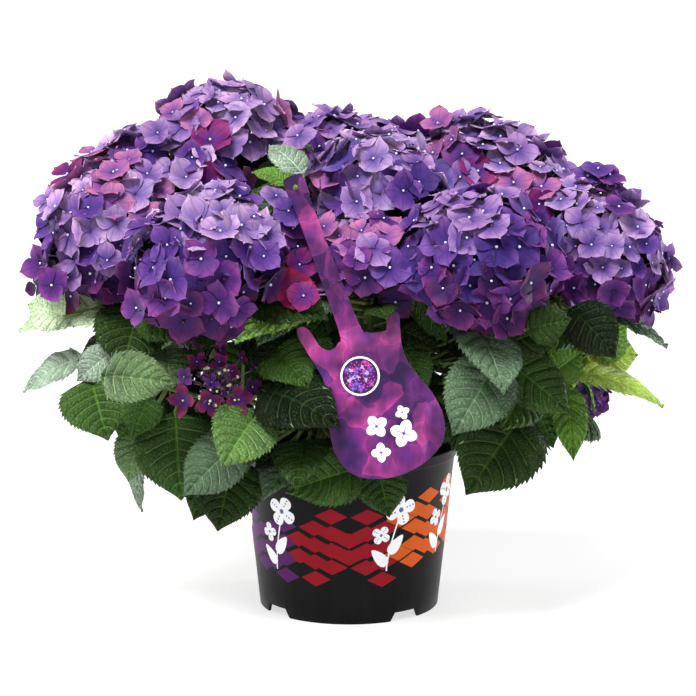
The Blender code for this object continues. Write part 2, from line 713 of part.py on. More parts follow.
def tapered(count, first, last):
    return [first + (last - first) * k / (count - 1) for k in range(count)]


def build_shoot(shoot, heel, ends, bloom, leaves, looks):
    """A shoot's cane, leafy stem and flower head, each 0.3 mm clear of the next."""
    run = sum((a - b).length for a, b in zip(stretch(ends, 0, 1, 20), stretch(ends, 0, 1, 20)[1:]))
    gap = CLEARANCE * 1.2 / run
    middle = (CANE_RADIUS + STEM_RADIUS) / 2
    points = [heel, *stretch(ends, 0.0, CANE_SHARE - gap, 3)]
    mesh_object("cane_" + shoot.name, tube(points, tapered(5, CANE_RADIUS, middle), 5), looks["bark"])
    points = stretch(ends, CANE_SHARE, LEAFY_END if shoot.radius else 1.0, 5)
    if shoot.name == "label":
        points.append(LABEL_HOLE + label_axes()[2] * 0.006)
    pieces = [tube(points, tapered(len(points), middle, TIP_RADIUS), 5)]
    pieces += [whole_leaf(leaf) for leaf in leaves]
    joined("leaves_" + shoot.name, pieces, looks["leaf"])
    if shoot.radius:
        stalk_points = [curve_point(ends, LEAFY_END + gap), ends[2], Vector(shoot.end)]
        stalk = tube(stalk_points, (TIP_RADIUS,) * 3, 5)
        joined("head_" + shoot.name, [bloom[0], stalk, *bloom[1:]], looks["sepal"])


def main():
    clear_scene()
    looks = {
        "pot": material("black_plastic", (0.013, 0.013, 0.014), 0.42),
        "soil": material("potting_soil", (0.035, 0.022, 0.014), 0.95),
        "bark": material("young_bark", (0.16, 0.14, 0.06), 0.7),
        "leaf": material("green_leaf", (0.055, 0.13, 0.035), 0.5),
        "sepal": material("purple_sepal", (0.13, 0.06, 0.28), 0.6),
        "label": material("printed_card", (0.24, 0.03, 0.30), 0.35),
    }
    build_pot(looks["pot"])
    build_soil(looks["soil"])
    build_stock(looks["bark"])
    build_label(looks["label"])
    curves, heads, leaves = grow()
    for shoot in SHOOTS:
        build_shoot(shoot, *curves[shoot.name], heads.get(shoot.name, []), leaves[shoot.name], looks)


main()
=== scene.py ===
"""The looks of a potted mophead hydrangea with its hanging plant label.

Units are metres, +Z is up, the ground is z = 0 and the front of the plant faces -Y.
The first half repeats the growing rule of the part's source, so every shoot, leaf and flower head
grows where its solid stands. The second half gives each of them its fine surface.
"""

import math
import random
from collections import namedtuple

import bpy
import numpy as np
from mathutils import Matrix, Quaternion, Vector, noise
from mathutils.bvhtree import BVHTree
from mathutils.geometry import tessellate_polygon


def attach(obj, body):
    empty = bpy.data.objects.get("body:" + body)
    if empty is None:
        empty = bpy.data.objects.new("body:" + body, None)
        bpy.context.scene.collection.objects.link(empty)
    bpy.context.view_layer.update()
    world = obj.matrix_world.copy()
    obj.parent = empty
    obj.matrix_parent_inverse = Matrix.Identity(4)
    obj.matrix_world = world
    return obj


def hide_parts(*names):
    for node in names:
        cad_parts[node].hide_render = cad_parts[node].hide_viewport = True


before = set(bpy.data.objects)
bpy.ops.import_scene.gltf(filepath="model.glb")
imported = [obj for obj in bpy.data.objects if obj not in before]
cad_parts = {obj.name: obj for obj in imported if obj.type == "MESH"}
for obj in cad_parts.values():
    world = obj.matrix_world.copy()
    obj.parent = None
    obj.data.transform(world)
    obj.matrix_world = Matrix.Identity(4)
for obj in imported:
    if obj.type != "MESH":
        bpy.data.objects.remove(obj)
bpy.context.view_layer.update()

# ---------------------------------------------------------------- driving dimensions

CLEARANCE = 0.0003  # between solids that touch on the real plant

POT_HEIGHT = 0.178
POT_FOOT_RADIUS = 0.0968
POT_RIM_RADIUS = 0.1155
POT_WALL = 0.0020
POT_LIP = 0.0030  # how far the rim's collar stands out
POT_COLLAR = 0.012  # height of that collar
POT_FLOOR = 0.011  # the floor's height above the ground, inside the foot ring
NOTCH_COUNT = 4
NOTCH_FIRST = math.radians(-52)  # azimuth of the first drain notch
NOTCH_HEIGHT = 0.0095
NOTCH_WIDTH = 0.037
NOTCH_TOP_WIDTH = 0.027
SOIL_TOP = 0.160

STOCK_HEIGHT = 0.050
STOCK_RADIUS = 0.0155
STOCK_FLARE = 0.0230
CANE_RADIUS = 0.0036
HEEL = 0.006  # how far a cane runs straight out of the stock before it turns up
SPLAY = 0.60  # how far out a shoot is when it bends upwards, as a share of its reach
TIP_RADIUS = 0.0024
CANE_SHARE = 0.30  # share of a shoot's run that is bare cane
LEAFY_END = 0.96  # share of the run where the flower's own stalk takes over

LABEL_LENGTH = 0.318
LABEL_THICKNESS = 0.0012
LABEL_HOLE = Vector((-0.0530, -0.1480, 0.4680))  # the label shoot passes through it
LABEL_FOOT = Vector((0.0560, -0.2090, 0.1850))
LABEL_HOLE_RADIUS = 0.0031
LABEL_HOLE_INSET = 0.012  # from the head's top edge
SHORT_HORN = 0.017  # how much shorter the right horn is

FLORETS = 12  # flowers on a head, fewer and larger than life
FLORET_REACH = 0.0290
CORE_SHARE = 0.72  # a head's solid middle, as a share of its radius
HEAD_SQUASH = 0.88  # a head's height as a share of its width
HEAD_WRAP = math.radians(112)  # how far round its underside a head flowers
SMALL_HEAD = 0.06  # a head or lobe below this radius has fewer and smaller florets
SMALL_HEAD_FLORETS = 8
SMALL_HEAD_REACH = 0.52  # of its florets, as a share of its radius
HUB_DEPTH = 0.45  # how far below its middle a head's own stalks branch, as a share of its radius

LEAF_LENGTH = 0.098
LEAF_ASPECT = 0.66
LEAF_THICKNESS = 0.015  # share of the blade's length
BLADE_STATIONS = ((0.28, 0.98), (0.66, 0.86))  # along the blade, and its width there as a share
LEAF_ARCH = 0.09
LEAF_FOLD = 0.22
PETIOLE_LENGTH = 0.030
PETIOLE_RADIUS = 0.0016
MARGIN = 0.0009  # grown round a leaf while looking for its room
SKIRT_HEIGHT = 0.150  # a paired leaf's tip hangs no lower than this at the skirt's reach
SKIRT_REACH = 0.190
SKIRT_RISE = 0.8  # how much higher for each metre further out

HEART = Vector((0.0, 0.0, 0.215))  # where the shoots fan out from
UP = Vector((0.0, 0.0, 1.0))
GOLDEN = math.pi * (3 - math.sqrt(5))

# ---------------------------------------------------------------- what grows

# A shoot ends in a flower head of this radius round this centre, or with radius 0 in a bud at this point.
# The tables give millimetres.
Shoot = namedtuple("Shoot", "name end radius")


def rows_of(table):
    """The words of each line, with its numbers, which are given in thousandths, as numbers."""
    lines = table.strip().splitlines()
    return [[w if w[0].isalpha() else float(w) / 1000 for w in line.split()] for line in lines]


def shoots_of(table):
    return [Shoot(name, (x, y, z), radius) for name, x, y, z, radius in rows_of(table)]


SHOOTS = shoots_of("""
    far_left -255 -30 408 81
    front_left -144 -152 392 86
    top_left -138 80 492 83
    middle_back -30 130 462 72
    centre 28 -30 456 74
    centre_low 20 -135 386 50
    front_right 133.5 -150 394 86
    top_right 150 70 457 76
    far_right 271 -10 379 80
    back_left -210 138 365 80
    back_centre 30 161 350 80
    back_right 200 150 350 78
    young_left -133 -163 269 36
    low_right 262 45 222 26
    sprig_left -205 -112 262 0
    sprig_front -45 -128 228 0
    sprig_right 205 -75 270 0
""")
SHOOTS.append(Shoot("label", tuple(LABEL_HOLE), 0.0))

# Side lobes of some heads: they close the crown between one head and the next.
LOBES = shoots_of("""
    top_left -156 6 454 55
    centre 78 -75 428 45
    top_right 202 22 442 50
    far_left -236 33 464 54
    middle_back 45 118 472 50
""")

# A listed leaf: its shoot, where the blade starts, its tip, its width, the way it faces and its tone.
LeadLeaf = namedtuple("LeadLeaf", "shoot base tip width facing tone")


def leads_of(table):
    return [
        LeadLeaf(shoot, Vector(spots[:3]), Vector(spots[3:]), width, FACINGS[facing], tone)
        for shoot, *spots, width, facing, tone in rows_of(table)
    ]


TO_FRONT = Vector((0.0, -0.93, 0.37))
FACINGS = {"front": TO_FRONT, "sky": Vector((0.0, -0.45, 0.89)), "left": Vector((-0.7, -0.5, 0.5))}
LEAD_LEAVES = leads_of("""
    front_right 151 -160 295 103 -200 226 68 front blue
    sprig_front 13 -140 179 -65 -172 160 60 front mid
    label -24 -125 343 -115 -170 317 48 sky fresh
    sprig_front -92 -164 242 -130 -202 184 64 front fern
    sprig_left -249 -160 278 -173 -192 278 50 front sage
    far_left -235 -40 330 -350 -34 304 74 sky lit
    sprig_left -277 -60 279 -345 -50 241 48 sky frost
    far_left -219 -50 335 -232 -120 276 78 front dark
    sprig_left -268 -88 262 -248 -128 206 74 front mid
    sprig_left -180 -108 230 -172 -146 146 84 front deep
    sprig_front -111 -140 207 -168 -168 157 56 front blue
    sprig_front -117 -118 186 -135 -150 115 70 front dark
    sprig_left -216 -60 184 -219 -68 115 28 left frost
    sprig_right 182 -120 234 119 -160 156 88 front dark
    front_right 159 -135 289 223 -160 240 54 front deep
    front_right 156 -140 305 220 -165 334 46 front dark
    front_right 62 -100 378 101 -125 305 36 left mid
    sprig_right 225 -80 268 333 -55 227 42 sky lime
    far_right 228 -104 339 273 -128 291 52 front night
    sprig_right 236 -48 281 308 -30 277 56 front lime
    sprig_right 228 -60 250 234 -95 176 36 front bright
    sprig_right 190 -60 238 214 -85 188 44 front mid
    sprig_front 27 -128 186 41 -160 134 52 front deep
    centre_low 52 -110 305 79 -140 256 40 front mid
    sprig_front -20 -95 250 -81 -120 198 54 front night
    label -50 -105 284 -86 -130 226 50 front night
    front_left -86 -100 292 -146 -120 257 52 front mid
    front_left -190 -75 290 -180 -105 236 56 front sage
    label -59 -100 465 -100 -85 478 30 sky bright
    label -47 -85 474 -84 -50 494 36 sky frost
    sprig_left -217 -85 212 -230 -102 155 42 front sage
    front_right 176 -192 331 208.5 -212 360 36 front dark
""")

# The other leaves stand in opposite pairs, each pair turned a quarter from the last.
PAIR_SHARES = (0.05, 0.24, 0.43, 0.62, 0.80, 0.95)  # along the leafy stem
# A leaf that has no room tries again, pitched and turned by these degrees.
NUDGES = ((0, 0), (9, 0), (-9, 0), (18, 0), (-18, 0), (6, 14), (6, -14), (-12, 20), (-12, -20), (30, 0))

Leaf = namedtuple("Leaf", "root base tip normal width")
Floret = namedtuple("Floret", "centre normal spin reach")


# ---------------------------------------------------------------- solids as (points, faces)


def circled(first, second, turn):
    """The way this far round from the first way towards the second."""
    return first * math.cos(turn) + second * math.sin(turn)


def level_spot(turn, out, height):
    """The point at this azimuth, distance from the axis and height."""
    return Vector((out * math.cos(turn), out * math.sin(turn), height))


def bands(count, sides, start=0, flip=False):
    """Four-sided faces between closed rings of points numbered ring by ring."""
    faces = []
    for near in range(start, start + count * sides):
        after = near + 1 if (near - start + 1) % sides else near + 1 - sides
        face = (near, after, after + sides, near + sides)
        faces.append((near, *face[:0:-1]) if flip else face)
    return faces


def tube(points, radii, sides):
    """A closed round limb through the points, with a flat cut at each end."""
    points = [Vector(p) for p in points]
    rings, last = [], len(points) - 1
    across = (points[1] - points[0]).orthogonal()
    for i, point in enumerate(points):
        along = (points[min(i + 1, last)] - points[max(i - 1, 0)]).normalized()
        across = (across - along * across.dot(along)).normalized()
        beside = along.cross(across)
        rings += [point + circled(across, beside, 2 * math.pi * k / sides) * radii[i] for k in range(sides)]
    ends = [tuple(reversed(range(sides))), tuple(range(last * sides, last * sides + sides))]
    return rings, ends + bands(last, sides)


def curve_point(ends, share):
    """A point on the quadratic curve with these three control points."""
    first, middle, last = ends
    return first * (1 - share) ** 2 + middle * 2 * share * (1 - share) + last * share**2


def stretch(ends, start, stop, pieces):
    """Points along part of that curve."""
    return [curve_point(ends, start + (stop - start) * i / pieces) for i in range(pieces + 1)]


def leaf_axes(leaf):
    """(along, side, normal) of a leaf's blade."""
    along = (leaf.tip - leaf.base).normalized()
    normal = (leaf.normal - along * leaf.normal.dot(along)).normalized()
    return along, along.cross(normal), normal


def blade(leaf, grow=0.0):
    """A pointed oval blade of four-sided sections, folded up along its midrib and arched from end to end."""
    along, side, normal = leaf_axes(leaf)
    length = (leaf.tip - leaf.base).length
    way = ((leaf.base - leaf.root).normalized() + along).normalized()
    up = (normal - way * normal.dot(way)).normalized()
    beside = way.cross(up) * (PETIOLE_RADIUS + grow)
    up *= PETIOLE_RADIUS + grow
    points = [leaf.base - beside, leaf.base + up, leaf.base + beside, leaf.base - up]
    thick = length * LEAF_THICKNESS / 2 + grow
    for share, width_share in BLADE_STATIONS:
        half = leaf.width * width_share / 2
        middle = leaf.base + along * length * share + normal * LEAF_ARCH * length * 4 * share * (1 - share)
        edge = middle + normal * half * LEAF_FOLD
        out, up = side * (half + grow), normal * thick
        points += [edge - out, middle + up, edge + out, middle - up]
    points.append(leaf.tip + along * grow)
    last = len(points) - 5
    faces = [(0, 1, 2, 3)]
    for here, after, far, beyond in bands(last // 4, 4):
        faces += [(here, after, far), (here, far, beyond)]
    faces += [(last + k, last + (k + 1) % 4, last + 4) for k in range(4)]
    return points, faces


def petiole(leaf, grow=0.0):
    """The leaf's stalk, from inside its stem to its blade."""
    return tube((leaf.root, leaf.base), (PETIOLE_RADIUS * 1.2 + grow, PETIOLE_RADIUS + grow), 4)


def flower(floret, depth=0.004):
    """Four square-ended sepals in one shallow cup, on a four-sided stalk that widens to meet them."""
    across = floret.normal.orthogonal().normalized()
    beside = floret.normal.cross(across)
    points = [floret.centre, floret.centre - floret.normal * depth]
    for sepal in range(4):
        for degrees, share in ((-45, 0.50), (-21, 1.0), (21, 1.0)):
            turn = floret.spin + math.radians(90 * sepal + degrees)
            out = circled(across, beside, turn) * floret.reach * share
            points.append(floret.centre + out - floret.normal * 0.06 * share * floret.reach)
    faces = [(0, 2 + k, 2 + (k + 1) % 12) for k in range(12)]
    for sepal in range(4):
        notch, first, last, after = (2 + (3 * sepal + k) % 12 for k in range(4))
        faces += [(after, first, notch), (after, last, first), (1, after, notch)]
    return points, faces


def ball(centre, axis, radius, squash):
    """A closed faceted ball, flattened along its axis."""
    rings, sides = 4, 8
    turn = UP.rotation_difference(axis)
    points = [Vector((0, 0, radius * squash)), Vector((0, 0, -radius * squash))]
    for i in range(1, rings + 1):
        polar = math.pi * i / (rings + 1)
        out, level = radius * math.sin(polar), radius * squash * math.cos(polar)
        points += [level_spot(2 * math.pi * (k + 0.5 * (i % 2)) / sides, out, level) for k in range(sides)]
    faces = []
    for k in range(sides):
        after = (k + 1) % sides
        low = 2 + (rings - 1) * sides
        faces += [(0, 2 + k, 2 + after), (1, low + after, low + k)]
        for i in range(rings - 1):
            near, far = 2 + i * sides + k, 2 + i * sides + after
            if i % 2:
                faces += [(near, near + sides, far), (far, near + sides, far + sides)]
            else:
                faces += [(near, far + sides, far), (near, near + sides, far + sides)]
    return [centre + turn @ p for p in points], faces


# ---------------------------------------------------------------- rooms in the crown


class Crown:
    """Keeps every solid's surface, so that nothing new grows through it."""

    def __init__(self):
        self.items = []

    def add(self, owner, kind, solid):
        points, faces = solid
        self.items.append((owner, kind, *corners_of(points), BVHTree.FromPolygons(points, faces)))

    def has_room(self, solid, owner="", kinds=()):
        """True if the solid crosses nothing but the owner's own pieces of these kinds."""
        points, faces = solid
        low, high = corners_of(points)
        tree = None
        for other, kind, other_low, other_high, other_tree in self.items:
            if other == owner and kind in kinds:
                continue
            if any(low[k] > other_high[k] or high[k] < other_low[k] for k in range(3)):
                continue
            tree = tree or BVHTree.FromPolygons(points, faces)
            if tree.overlap(other_tree):
                return False
        return True


def corners_of(points):
    return tuple(tuple(pick(p[k] for p in points) for k in range(3)) for pick in (min, max))


# ---------------------------------------------------------------- the growing rule


def shoot_curves():
    """Each shoot's heel on the stock, with the three control points of its run from there to its end."""
    order = sorted(SHOOTS, key=lambda shoot: math.atan2(shoot.end[1], shoot.end[0]))
    curves = {}
    for rank, shoot in enumerate(order):
        turn = -math.pi + 2 * math.pi * (rank + 0.5) / len(order)
        outward = level_spot(turn, 1.0, 0.0)
        height = SOIL_TOP + STOCK_HEIGHT * (0.44 if rank % 2 else 0.70)
        heel = outward * (STOCK_RADIUS * math.cos(math.pi / len(order)) + CLEARANCE) + UP * height
        start = heel + outward * HEEL
        end = Vector(shoot.end)
        if shoot.radius:
            end -= head_axis(shoot) * shoot.radius * CORE_SHARE * 0.9
        if shoot.name == "label":
            end -= label_axes()[2] * 0.004
            bend = end - label_axes()[2] * 0.085
        else:
            flat = Vector((end.x - start.x, end.y - start.y, 0))
            bend = start + flat * SPLAY + UP * ((1 - SPLAY) * (end.z - start.z) + 0.020)
        curves[shoot.name] = (heel, (start, bend, end))
    return curves


def head_axis(shoot):
    """The way a flower head faces: outwards from the plant's heart, drawn upwards."""
    return ((Vector(shoot.end) - HEART).normalized() + UP * 0.35).normalized()


def head_florets(shoot, axis, count, reach, seed):
    """Florets spread evenly over a head, from its crown to a little way round its underside."""
    chance = random.Random(seed)
    turn = UP.rotation_difference(axis)
    found = []
    for k in range(count):
        polar = math.acos(1 - (k + 0.5) / count * (1 - math.cos(HEAD_WRAP)))
        round_it = k * GOLDEN
        out = level_spot(round_it, 1.0, 0.0) * math.sin(polar) + UP * math.cos(polar)
        size = reach * chance.uniform(0.90, 1.08)
        spread = shoot.radius - size * 0.06
        place = Vector(shoot.end) + turn @ Vector((out.x, out.y, out.z * HEAD_SQUASH)) * spread
        tilt = Vector([chance.uniform(-0.16, 0.16) for _ in range(3)])
        normal = (turn @ out + tilt).normalized()
        found.append(Floret(place, normal, chance.uniform(0, math.pi / 2), size))
    return found


def in_another_head(point, shoot):
    return any(
        other is not shoot and (point - Vector(other.end)).length < other.radius * 0.92
        for other in SHOOTS + LOBES
    )


def nearest_on(ends, point):
    """The point of a shoot's leafy stem that lies closest below a leaf's blade."""
    shares = [CANE_SHARE + 0.02 + (LEAFY_END - CANE_SHARE - 0.05) * k / 30 for k in range(31)]
    return min((curve_point(ends, s) for s in shares), key=lambda p: (p - point).length)


def pitched(leaf, degrees):
    """The same leaf with its blade pitched and turned about its base."""
    _, side, normal = leaf_axes(leaf)
    turn = Quaternion(side, math.radians(degrees[0])) @ Quaternion(normal, math.radians(degrees[1]))
    return leaf._replace(tip=leaf.base + turn @ (leaf.tip - leaf.base), normal=turn @ normal)


def skirt(point):
    """The height that a paired leaf's tip stays above, so far out."""
    return SKIRT_HEIGHT + SKIRT_RISE * (math.hypot(point.x, point.y) - SKIRT_REACH)


def settle(crown, leaves, owner, leaf, led):
    """Adds the leaf to its owner's where it has room, or nowhere if it finds none."""
    for degrees in NUDGES:
        tried = pitched(leaf, degrees)
        if not led and tried.tip.z < skirt(tried.tip):
            continue
        stalk = petiole(tried, MARGIN)
        if crown.has_room(blade(tried, MARGIN)) and crown.has_room(stalk, owner, ("stem", "petiole")):
            crown.add(owner, "blade", blade(tried))
            crown.add(owner, "petiole", petiole(tried))
            leaves[owner].append(tried)
            return


def settle_leads(crown, curves, leaves, leads):
    """Settles the listed leaves, each on the nearest part of its stem."""
    for lead in leads:
        root = nearest_on(curves[lead.shoot][1], lead.base - UP * 0.01)
        settle(crown, leaves, lead.shoot, Leaf(root, lead.base, lead.tip, lead.facing, lead.width), True)


def pair_leaf(ends, share, rank, side_sign, chance):
    """One leaf of an opposite pair on a stem."""
    root = curve_point(ends, share)
    along = (curve_point(ends, share + 0.02) - curve_point(ends, share - 0.02)).normalized()
    level = along.cross(UP).normalized()
    other = level.cross(along).normalized()
    turn = math.radians(90 * (rank % 2) + chance.uniform(-22, 22))
    out = circled(level, other, turn) * side_sign
    length = LEAF_LENGTH * chance.uniform(0.86, 1.12)
    stalk = PETIOLE_LENGTH * chance.uniform(0.8, 1.3)
    base = root + (out * 0.9 + along * 0.4).normalized() * stalk
    droop = chance.uniform(0.15, 0.75) - (0.30 if rank > 2 else 0.0)
    run = (Vector((out.x, out.y, out.z * 0.3)).normalized() - UP * droop).normalized()
    facing = (UP + Vector((base.x, base.y, 0)).normalized() * 0.9).normalized()
    return Leaf(root, base, base + run * length, facing, length * LEAF_ASPECT)


def leafy_share(share):
    """A share of a shoot's leafy part, as a share of its whole run."""
    return CANE_SHARE + (LEAFY_END - CANE_SHARE) * share


def grow():
    """Everything that grows: the crown's rooms, the shoots' curves and each shoot's leaves."""
    crown = Crown()
    curves = shoot_curves()
    pot = tube(((0, 0, 0), (0, 0, POT_HEIGHT)), (POT_FOOT_RADIUS + 0.002, POT_RIM_RADIUS + 0.005), 24)
    crown.add("pot", "pot", pot)
    crown.add("label", "plate", label_plate(MARGIN))
    for name, (heel, ends) in curves.items():
        crown.add(name, "stem", tube([heel, *stretch(ends, 0.0, 1.0, 12)], [CANE_RADIUS + MARGIN] * 14, 6))
    blooms = [s for s in SHOOTS if s.radius] + LOBES
    for shoot in blooms:
        core = ball(Vector(shoot.end), head_axis(shoot), shoot.radius * CORE_SHARE, HEAD_SQUASH)
        crown.add(shoot.name, "head", core)
    for number, shoot in enumerate(blooms):
        small = shoot.radius < SMALL_HEAD
        reach = SMALL_HEAD_REACH * shoot.radius if small else FLORET_REACH
        count = SMALL_HEAD_FLORETS if small else FLORETS
        for floret in head_florets(shoot, head_axis(shoot), count, reach, 100 + number):
            shape = flower(floret, shoot.radius * (1 - CORE_SHARE) + 0.006)
            free = crown.has_room(shape, shoot.name, ("stem", "head"))
            if free and not in_another_head(floret.centre, shoot):
                crown.add(shoot.name, "head", shape)
    leaves = {s.name: [] for s in SHOOTS}
    settle_leads(crown, curves, leaves, LEAD_LEAVES)
    for rank, pair_share in enumerate(PAIR_SHARES):
        for number, shoot in enumerate(SHOOTS):
            if shoot.name == "label" and rank > 2:
                continue
            chance = random.Random(1000 * rank + number)
            for side_sign in (1, -1):
                ends = curves[shoot.name][1]
                leaf = pair_leaf(ends, leafy_share(pair_share), rank + number, side_sign, chance)
                settle(crown, leaves, shoot.name, leaf, False)
    return crown, curves, leaves


# ---------------------------------------------------------------- the label


def label_axes():
    """(down its length, across it, out of its face)."""
    down = (LABEL_FOOT - LABEL_HOLE).normalized()
    across = Vector((0, -1, 0)).cross(down).normalized()
    return down, across, down.cross(across)


def label_outline(cut):
    """Half of a plain guitar-shaped outline, its horn cut short: how far down the label, and how far out."""
    half = (
        (0.0, 0.0), (0.0, 0.0065), (0.004, 0.0105), (0.024, 0.0105), (0.031, 0.0092), (0.160, 0.0104),
        (0.176, 0.016), (0.180, 0.026), (0.172 + cut / 2, 0.034), (0.153 + cut, 0.0385), (0.147 + cut, 0.046),
        (0.154 + cut, 0.051), (0.176 + cut / 2, 0.0475), (0.205, 0.0425), (0.228, 0.0450), (0.256, 0.0545),
        (0.284, 0.0570), (0.306, 0.048), (0.319, 0.028), (0.324, 0.0),
    )
    return [(down * LABEL_LENGTH / half[-1][0], out) for down, out in half]


def label_loop():
    """The whole outline: down its right side and up its left."""
    return label_outline(SHORT_HORN) + [(d, -v) for d, v in reversed(label_outline(0.0)[1:-1])]


def label_plate(grow=0.0):
    """The label's flat plate."""
    down, across, out = label_axes()
    loop = label_loop()
    top = LABEL_HOLE - down * LABEL_HOLE_INSET
    face = [top + down * d + across * v for d, v in loop]
    thick = LABEL_THICKNESS / 2 + grow
    points = [p + out * thick for p in face] + [p - out * thick for p in face]
    count = len(face)
    faces = [tuple(range(count)), tuple(reversed(range(count, 2 * count)))]
    return points, faces + bands(1, count, flip=True)


# ---------------------------------------------------------------- materials


def srgb(red, green, blue):
    """An sRGB colour, 0 to 255, as linear values."""
    return tuple(c / 3294.6 if c <= 10 else ((c / 255 + 0.055) / 1.055) ** 2.4 for c in (red, green, blue))


def shade(colour, factor):
    return tuple(min(1.0, c * factor) for c in colour)


class Look:
    """A material with its nodes."""

    def __init__(self, name, **sockets):
        self.material = bpy.data.materials.new(name)
        self.material.use_nodes = True
        self.nodes = self.material.node_tree.nodes
        self.links = self.material.node_tree.links
        self.shader = self.nodes["Principled BSDF"]
        for socket, value in sockets.items():
            self.shader.inputs[socket.replace("_", " ")].default_value = value

    def node(self, kind, inputs=(), **settings):
        made = self.nodes.new("ShaderNode" + kind)
        for key, value in settings.items():
            setattr(made, key, value)
        for key, value in dict(inputs).items():
            if hasattr(value, "is_output"):
                self.links.new(value, made.inputs[key])
            else:
                made.inputs[key].default_value = value
        return made

    def place(self, scale=(1, 1, 1), uv=False):
        """Coordinates on the object, or along and across each leaf or petal."""
        source = self.node("TexCoord").outputs["UV" if uv else "Object"]
        return self.node("Mapping", {"Vector": source, "Scale": scale}).outputs["Vector"]

    def noise(self, scale, detail=3.0, place=None):
        wave = {"Vector": place or self.place(), "Scale": scale, "Detail": detail, "Roughness": 0.55}
        return self.node("TexNoise", wave).outputs["Fac"]

    def bent(self, scale, detail, size):
        """Coordinates that wander by up to this many metres, to bend a pattern's straight lines."""
        inputs = {"Vector": self.place(), "Scale": scale, "Detail": detail}
        wave = self.node("TexNoise", inputs).outputs["Color"]
        shift = self.node("VectorMath", {0: wave, "Scale": size}, operation="SCALE").outputs[0]
        return self.node("VectorMath", {0: self.place(), 1: shift}, operation="ADD").outputs[0]

    def borders(self, place, scale):
        """How far each point lies from the border of its cell."""
        cells = self.node("TexVoronoi", {"Vector": place, "Scale": scale}, feature="DISTANCE_TO_EDGE")
        return cells.outputs[0]

    def ramp(self, factor, *stops):
        """Colours between the stops, each a place and a colour or a grey."""
        made = self.node("ValToRGB", {"Fac": factor})
        steps = made.color_ramp.elements
        while len(steps) < len(stops):
            steps.new(0.5)
        for step, (where, colour) in zip(steps, stops):
            step.position = where
            step.color = (*(colour if isinstance(colour, tuple) else (colour,) * 3), 1.0)
        return made.outputs["Color"]

    def times(self, tint, amount, factor, *stops):
        """The tint multiplied, as far as amount says, by a ramp."""
        inputs = {0: amount, 6: tint, 7: self.ramp(factor, *stops)}
        return self.node("Mix", inputs, data_type="RGBA", blend_type="MULTIPLY").outputs[2]

    def colour(self, value):
        self.links.new(value, self.shader.inputs["Base Color"])

    def bump(self, height, distance, strength=1.0):
        previous = self.shader.inputs["Normal"].links
        inputs = {"Height": height, "Distance": distance, "Strength": strength}
        if previous:
            inputs["Normal"] = previous[0].from_socket
        self.links.new(self.node("Bump", inputs).outputs["Normal"], self.shader.inputs["Normal"])


def petal_look(name, foot, middle, rim):
    """A sepal from its foot's tint to its rim's tint, with fine veins along it, a painted highlight at its
    edge and painted shade in its middle crease.
    """
    sheen = {"Sheen_Weight": 0.11, "Sheen_Roughness": 0.35, "Sheen_Tint": (0.92, 0.74, 1.0, 1.0)}
    look = Look(name, Roughness=0.58, Specular_IOR_Level=0.14, **sheen)
    place = look.node("SeparateXYZ", {"Vector": look.place(uv=True)})
    tints = ((0.0, shade(foot, 0.5)), (0.16, foot), (0.50, middle), (0.90, rim), (1.0, shade(rim, 1.5)))
    tint = look.ramp(place.outputs["X"], *tints)
    # edge is a painted highlight along both margins, fold is painted shade along the middle crease
    edge, fold = (1.5, 1.4, 1.4), (0.68, 0.66, 0.76)
    left, right = ((0.0, edge), (0.07, 1.02), (0.44, 0.98)), ((0.56, 0.98), (0.93, 1.02), (1.0, edge))
    tint = look.times(tint, 0.8, place.outputs["Y"], *left, (0.50, fold), *right)
    veins = look.noise(1.0, 2.0, look.place((1.8, 15.0, 1.0), uv=True))
    tint = look.times(tint, 0.6, veins, (0.35, (0.62, 0.60, 0.68)), (0.62, (1.25, 1.2, 1.2)))
    cloud = look.noise(34.0, 2.0)
    look.colour(look.times(tint, 0.8, cloud, (0.32, (0.66, 0.68, 0.80)), (0.68, (1.26, 1.12, 1.06))))
    look.bump(veins, 0.0008, 0.8)
    return look.material


def leaf_look(name, colour):
    """A leaf's upper face: mottled green, puffed up between a net of fine sunken veins, darkened in them as
    painted shade.
    """
    look = Look(name, Roughness=0.40, Specular_IOR_Level=min(0.30, 0.11 + colour[1]))
    greens = (0.28, shade(colour, 0.52)), (0.54, colour), (0.80, shade(colour, 1.42))
    tint = look.ramp(look.noise(26.0), *greens)
    bent = look.bent(160.0, 1.0, 0.0016)
    net, fine = look.borders(bent, 235.0), look.borders(bent, 620.0)
    # The net's sunken veins are darkened here as painted shade.
    look.colour(look.times(tint, 0.5, net, (0.0, (0.66, 0.74, 0.60)), (0.16, 1.0)))
    look.bump(look.ramp(net, (0.0, 0.0), (0.12, 0.6), (0.42, 1.0)), 0.0011)
    look.bump(look.ramp(fine, (0.0, 0.0), (0.30, 1.0)), 0.0003, 0.6)
    return look.material


def plain_look(name, colour, roughness, variation, scale=60.0, bump=0.0, gloss=0.25):
    """A surface of one colour with a little mottling and, if asked, a little relief."""
    look = Look(name, Roughness=roughness, Specular_IOR_Level=gloss)
    spots = look.noise(scale, 4.0)
    look.colour(look.ramp(spots, (0.3, shade(colour, 1 - variation)), (0.7, shade(colour, 1 + variation))))
    if bump:
        look.bump(spots, bump, 0.8)
    return look.material


def bark_look(name, low, high):
    look = Look(name, Roughness=0.72)
    grain = look.noise(1.0, 5.0, look.place((420.0, 420.0, 60.0)))
    tint = look.ramp(grain, (0.30, low), (0.68, high))
    look.colour(look.times(tint, 0.5, look.noise(160.0), (0.35, (0.7, 0.7, 0.65)), (0.65, (1.2, 1.2, 1.1))))
    look.bump(grain, 0.0010, 0.8)
    return look.material


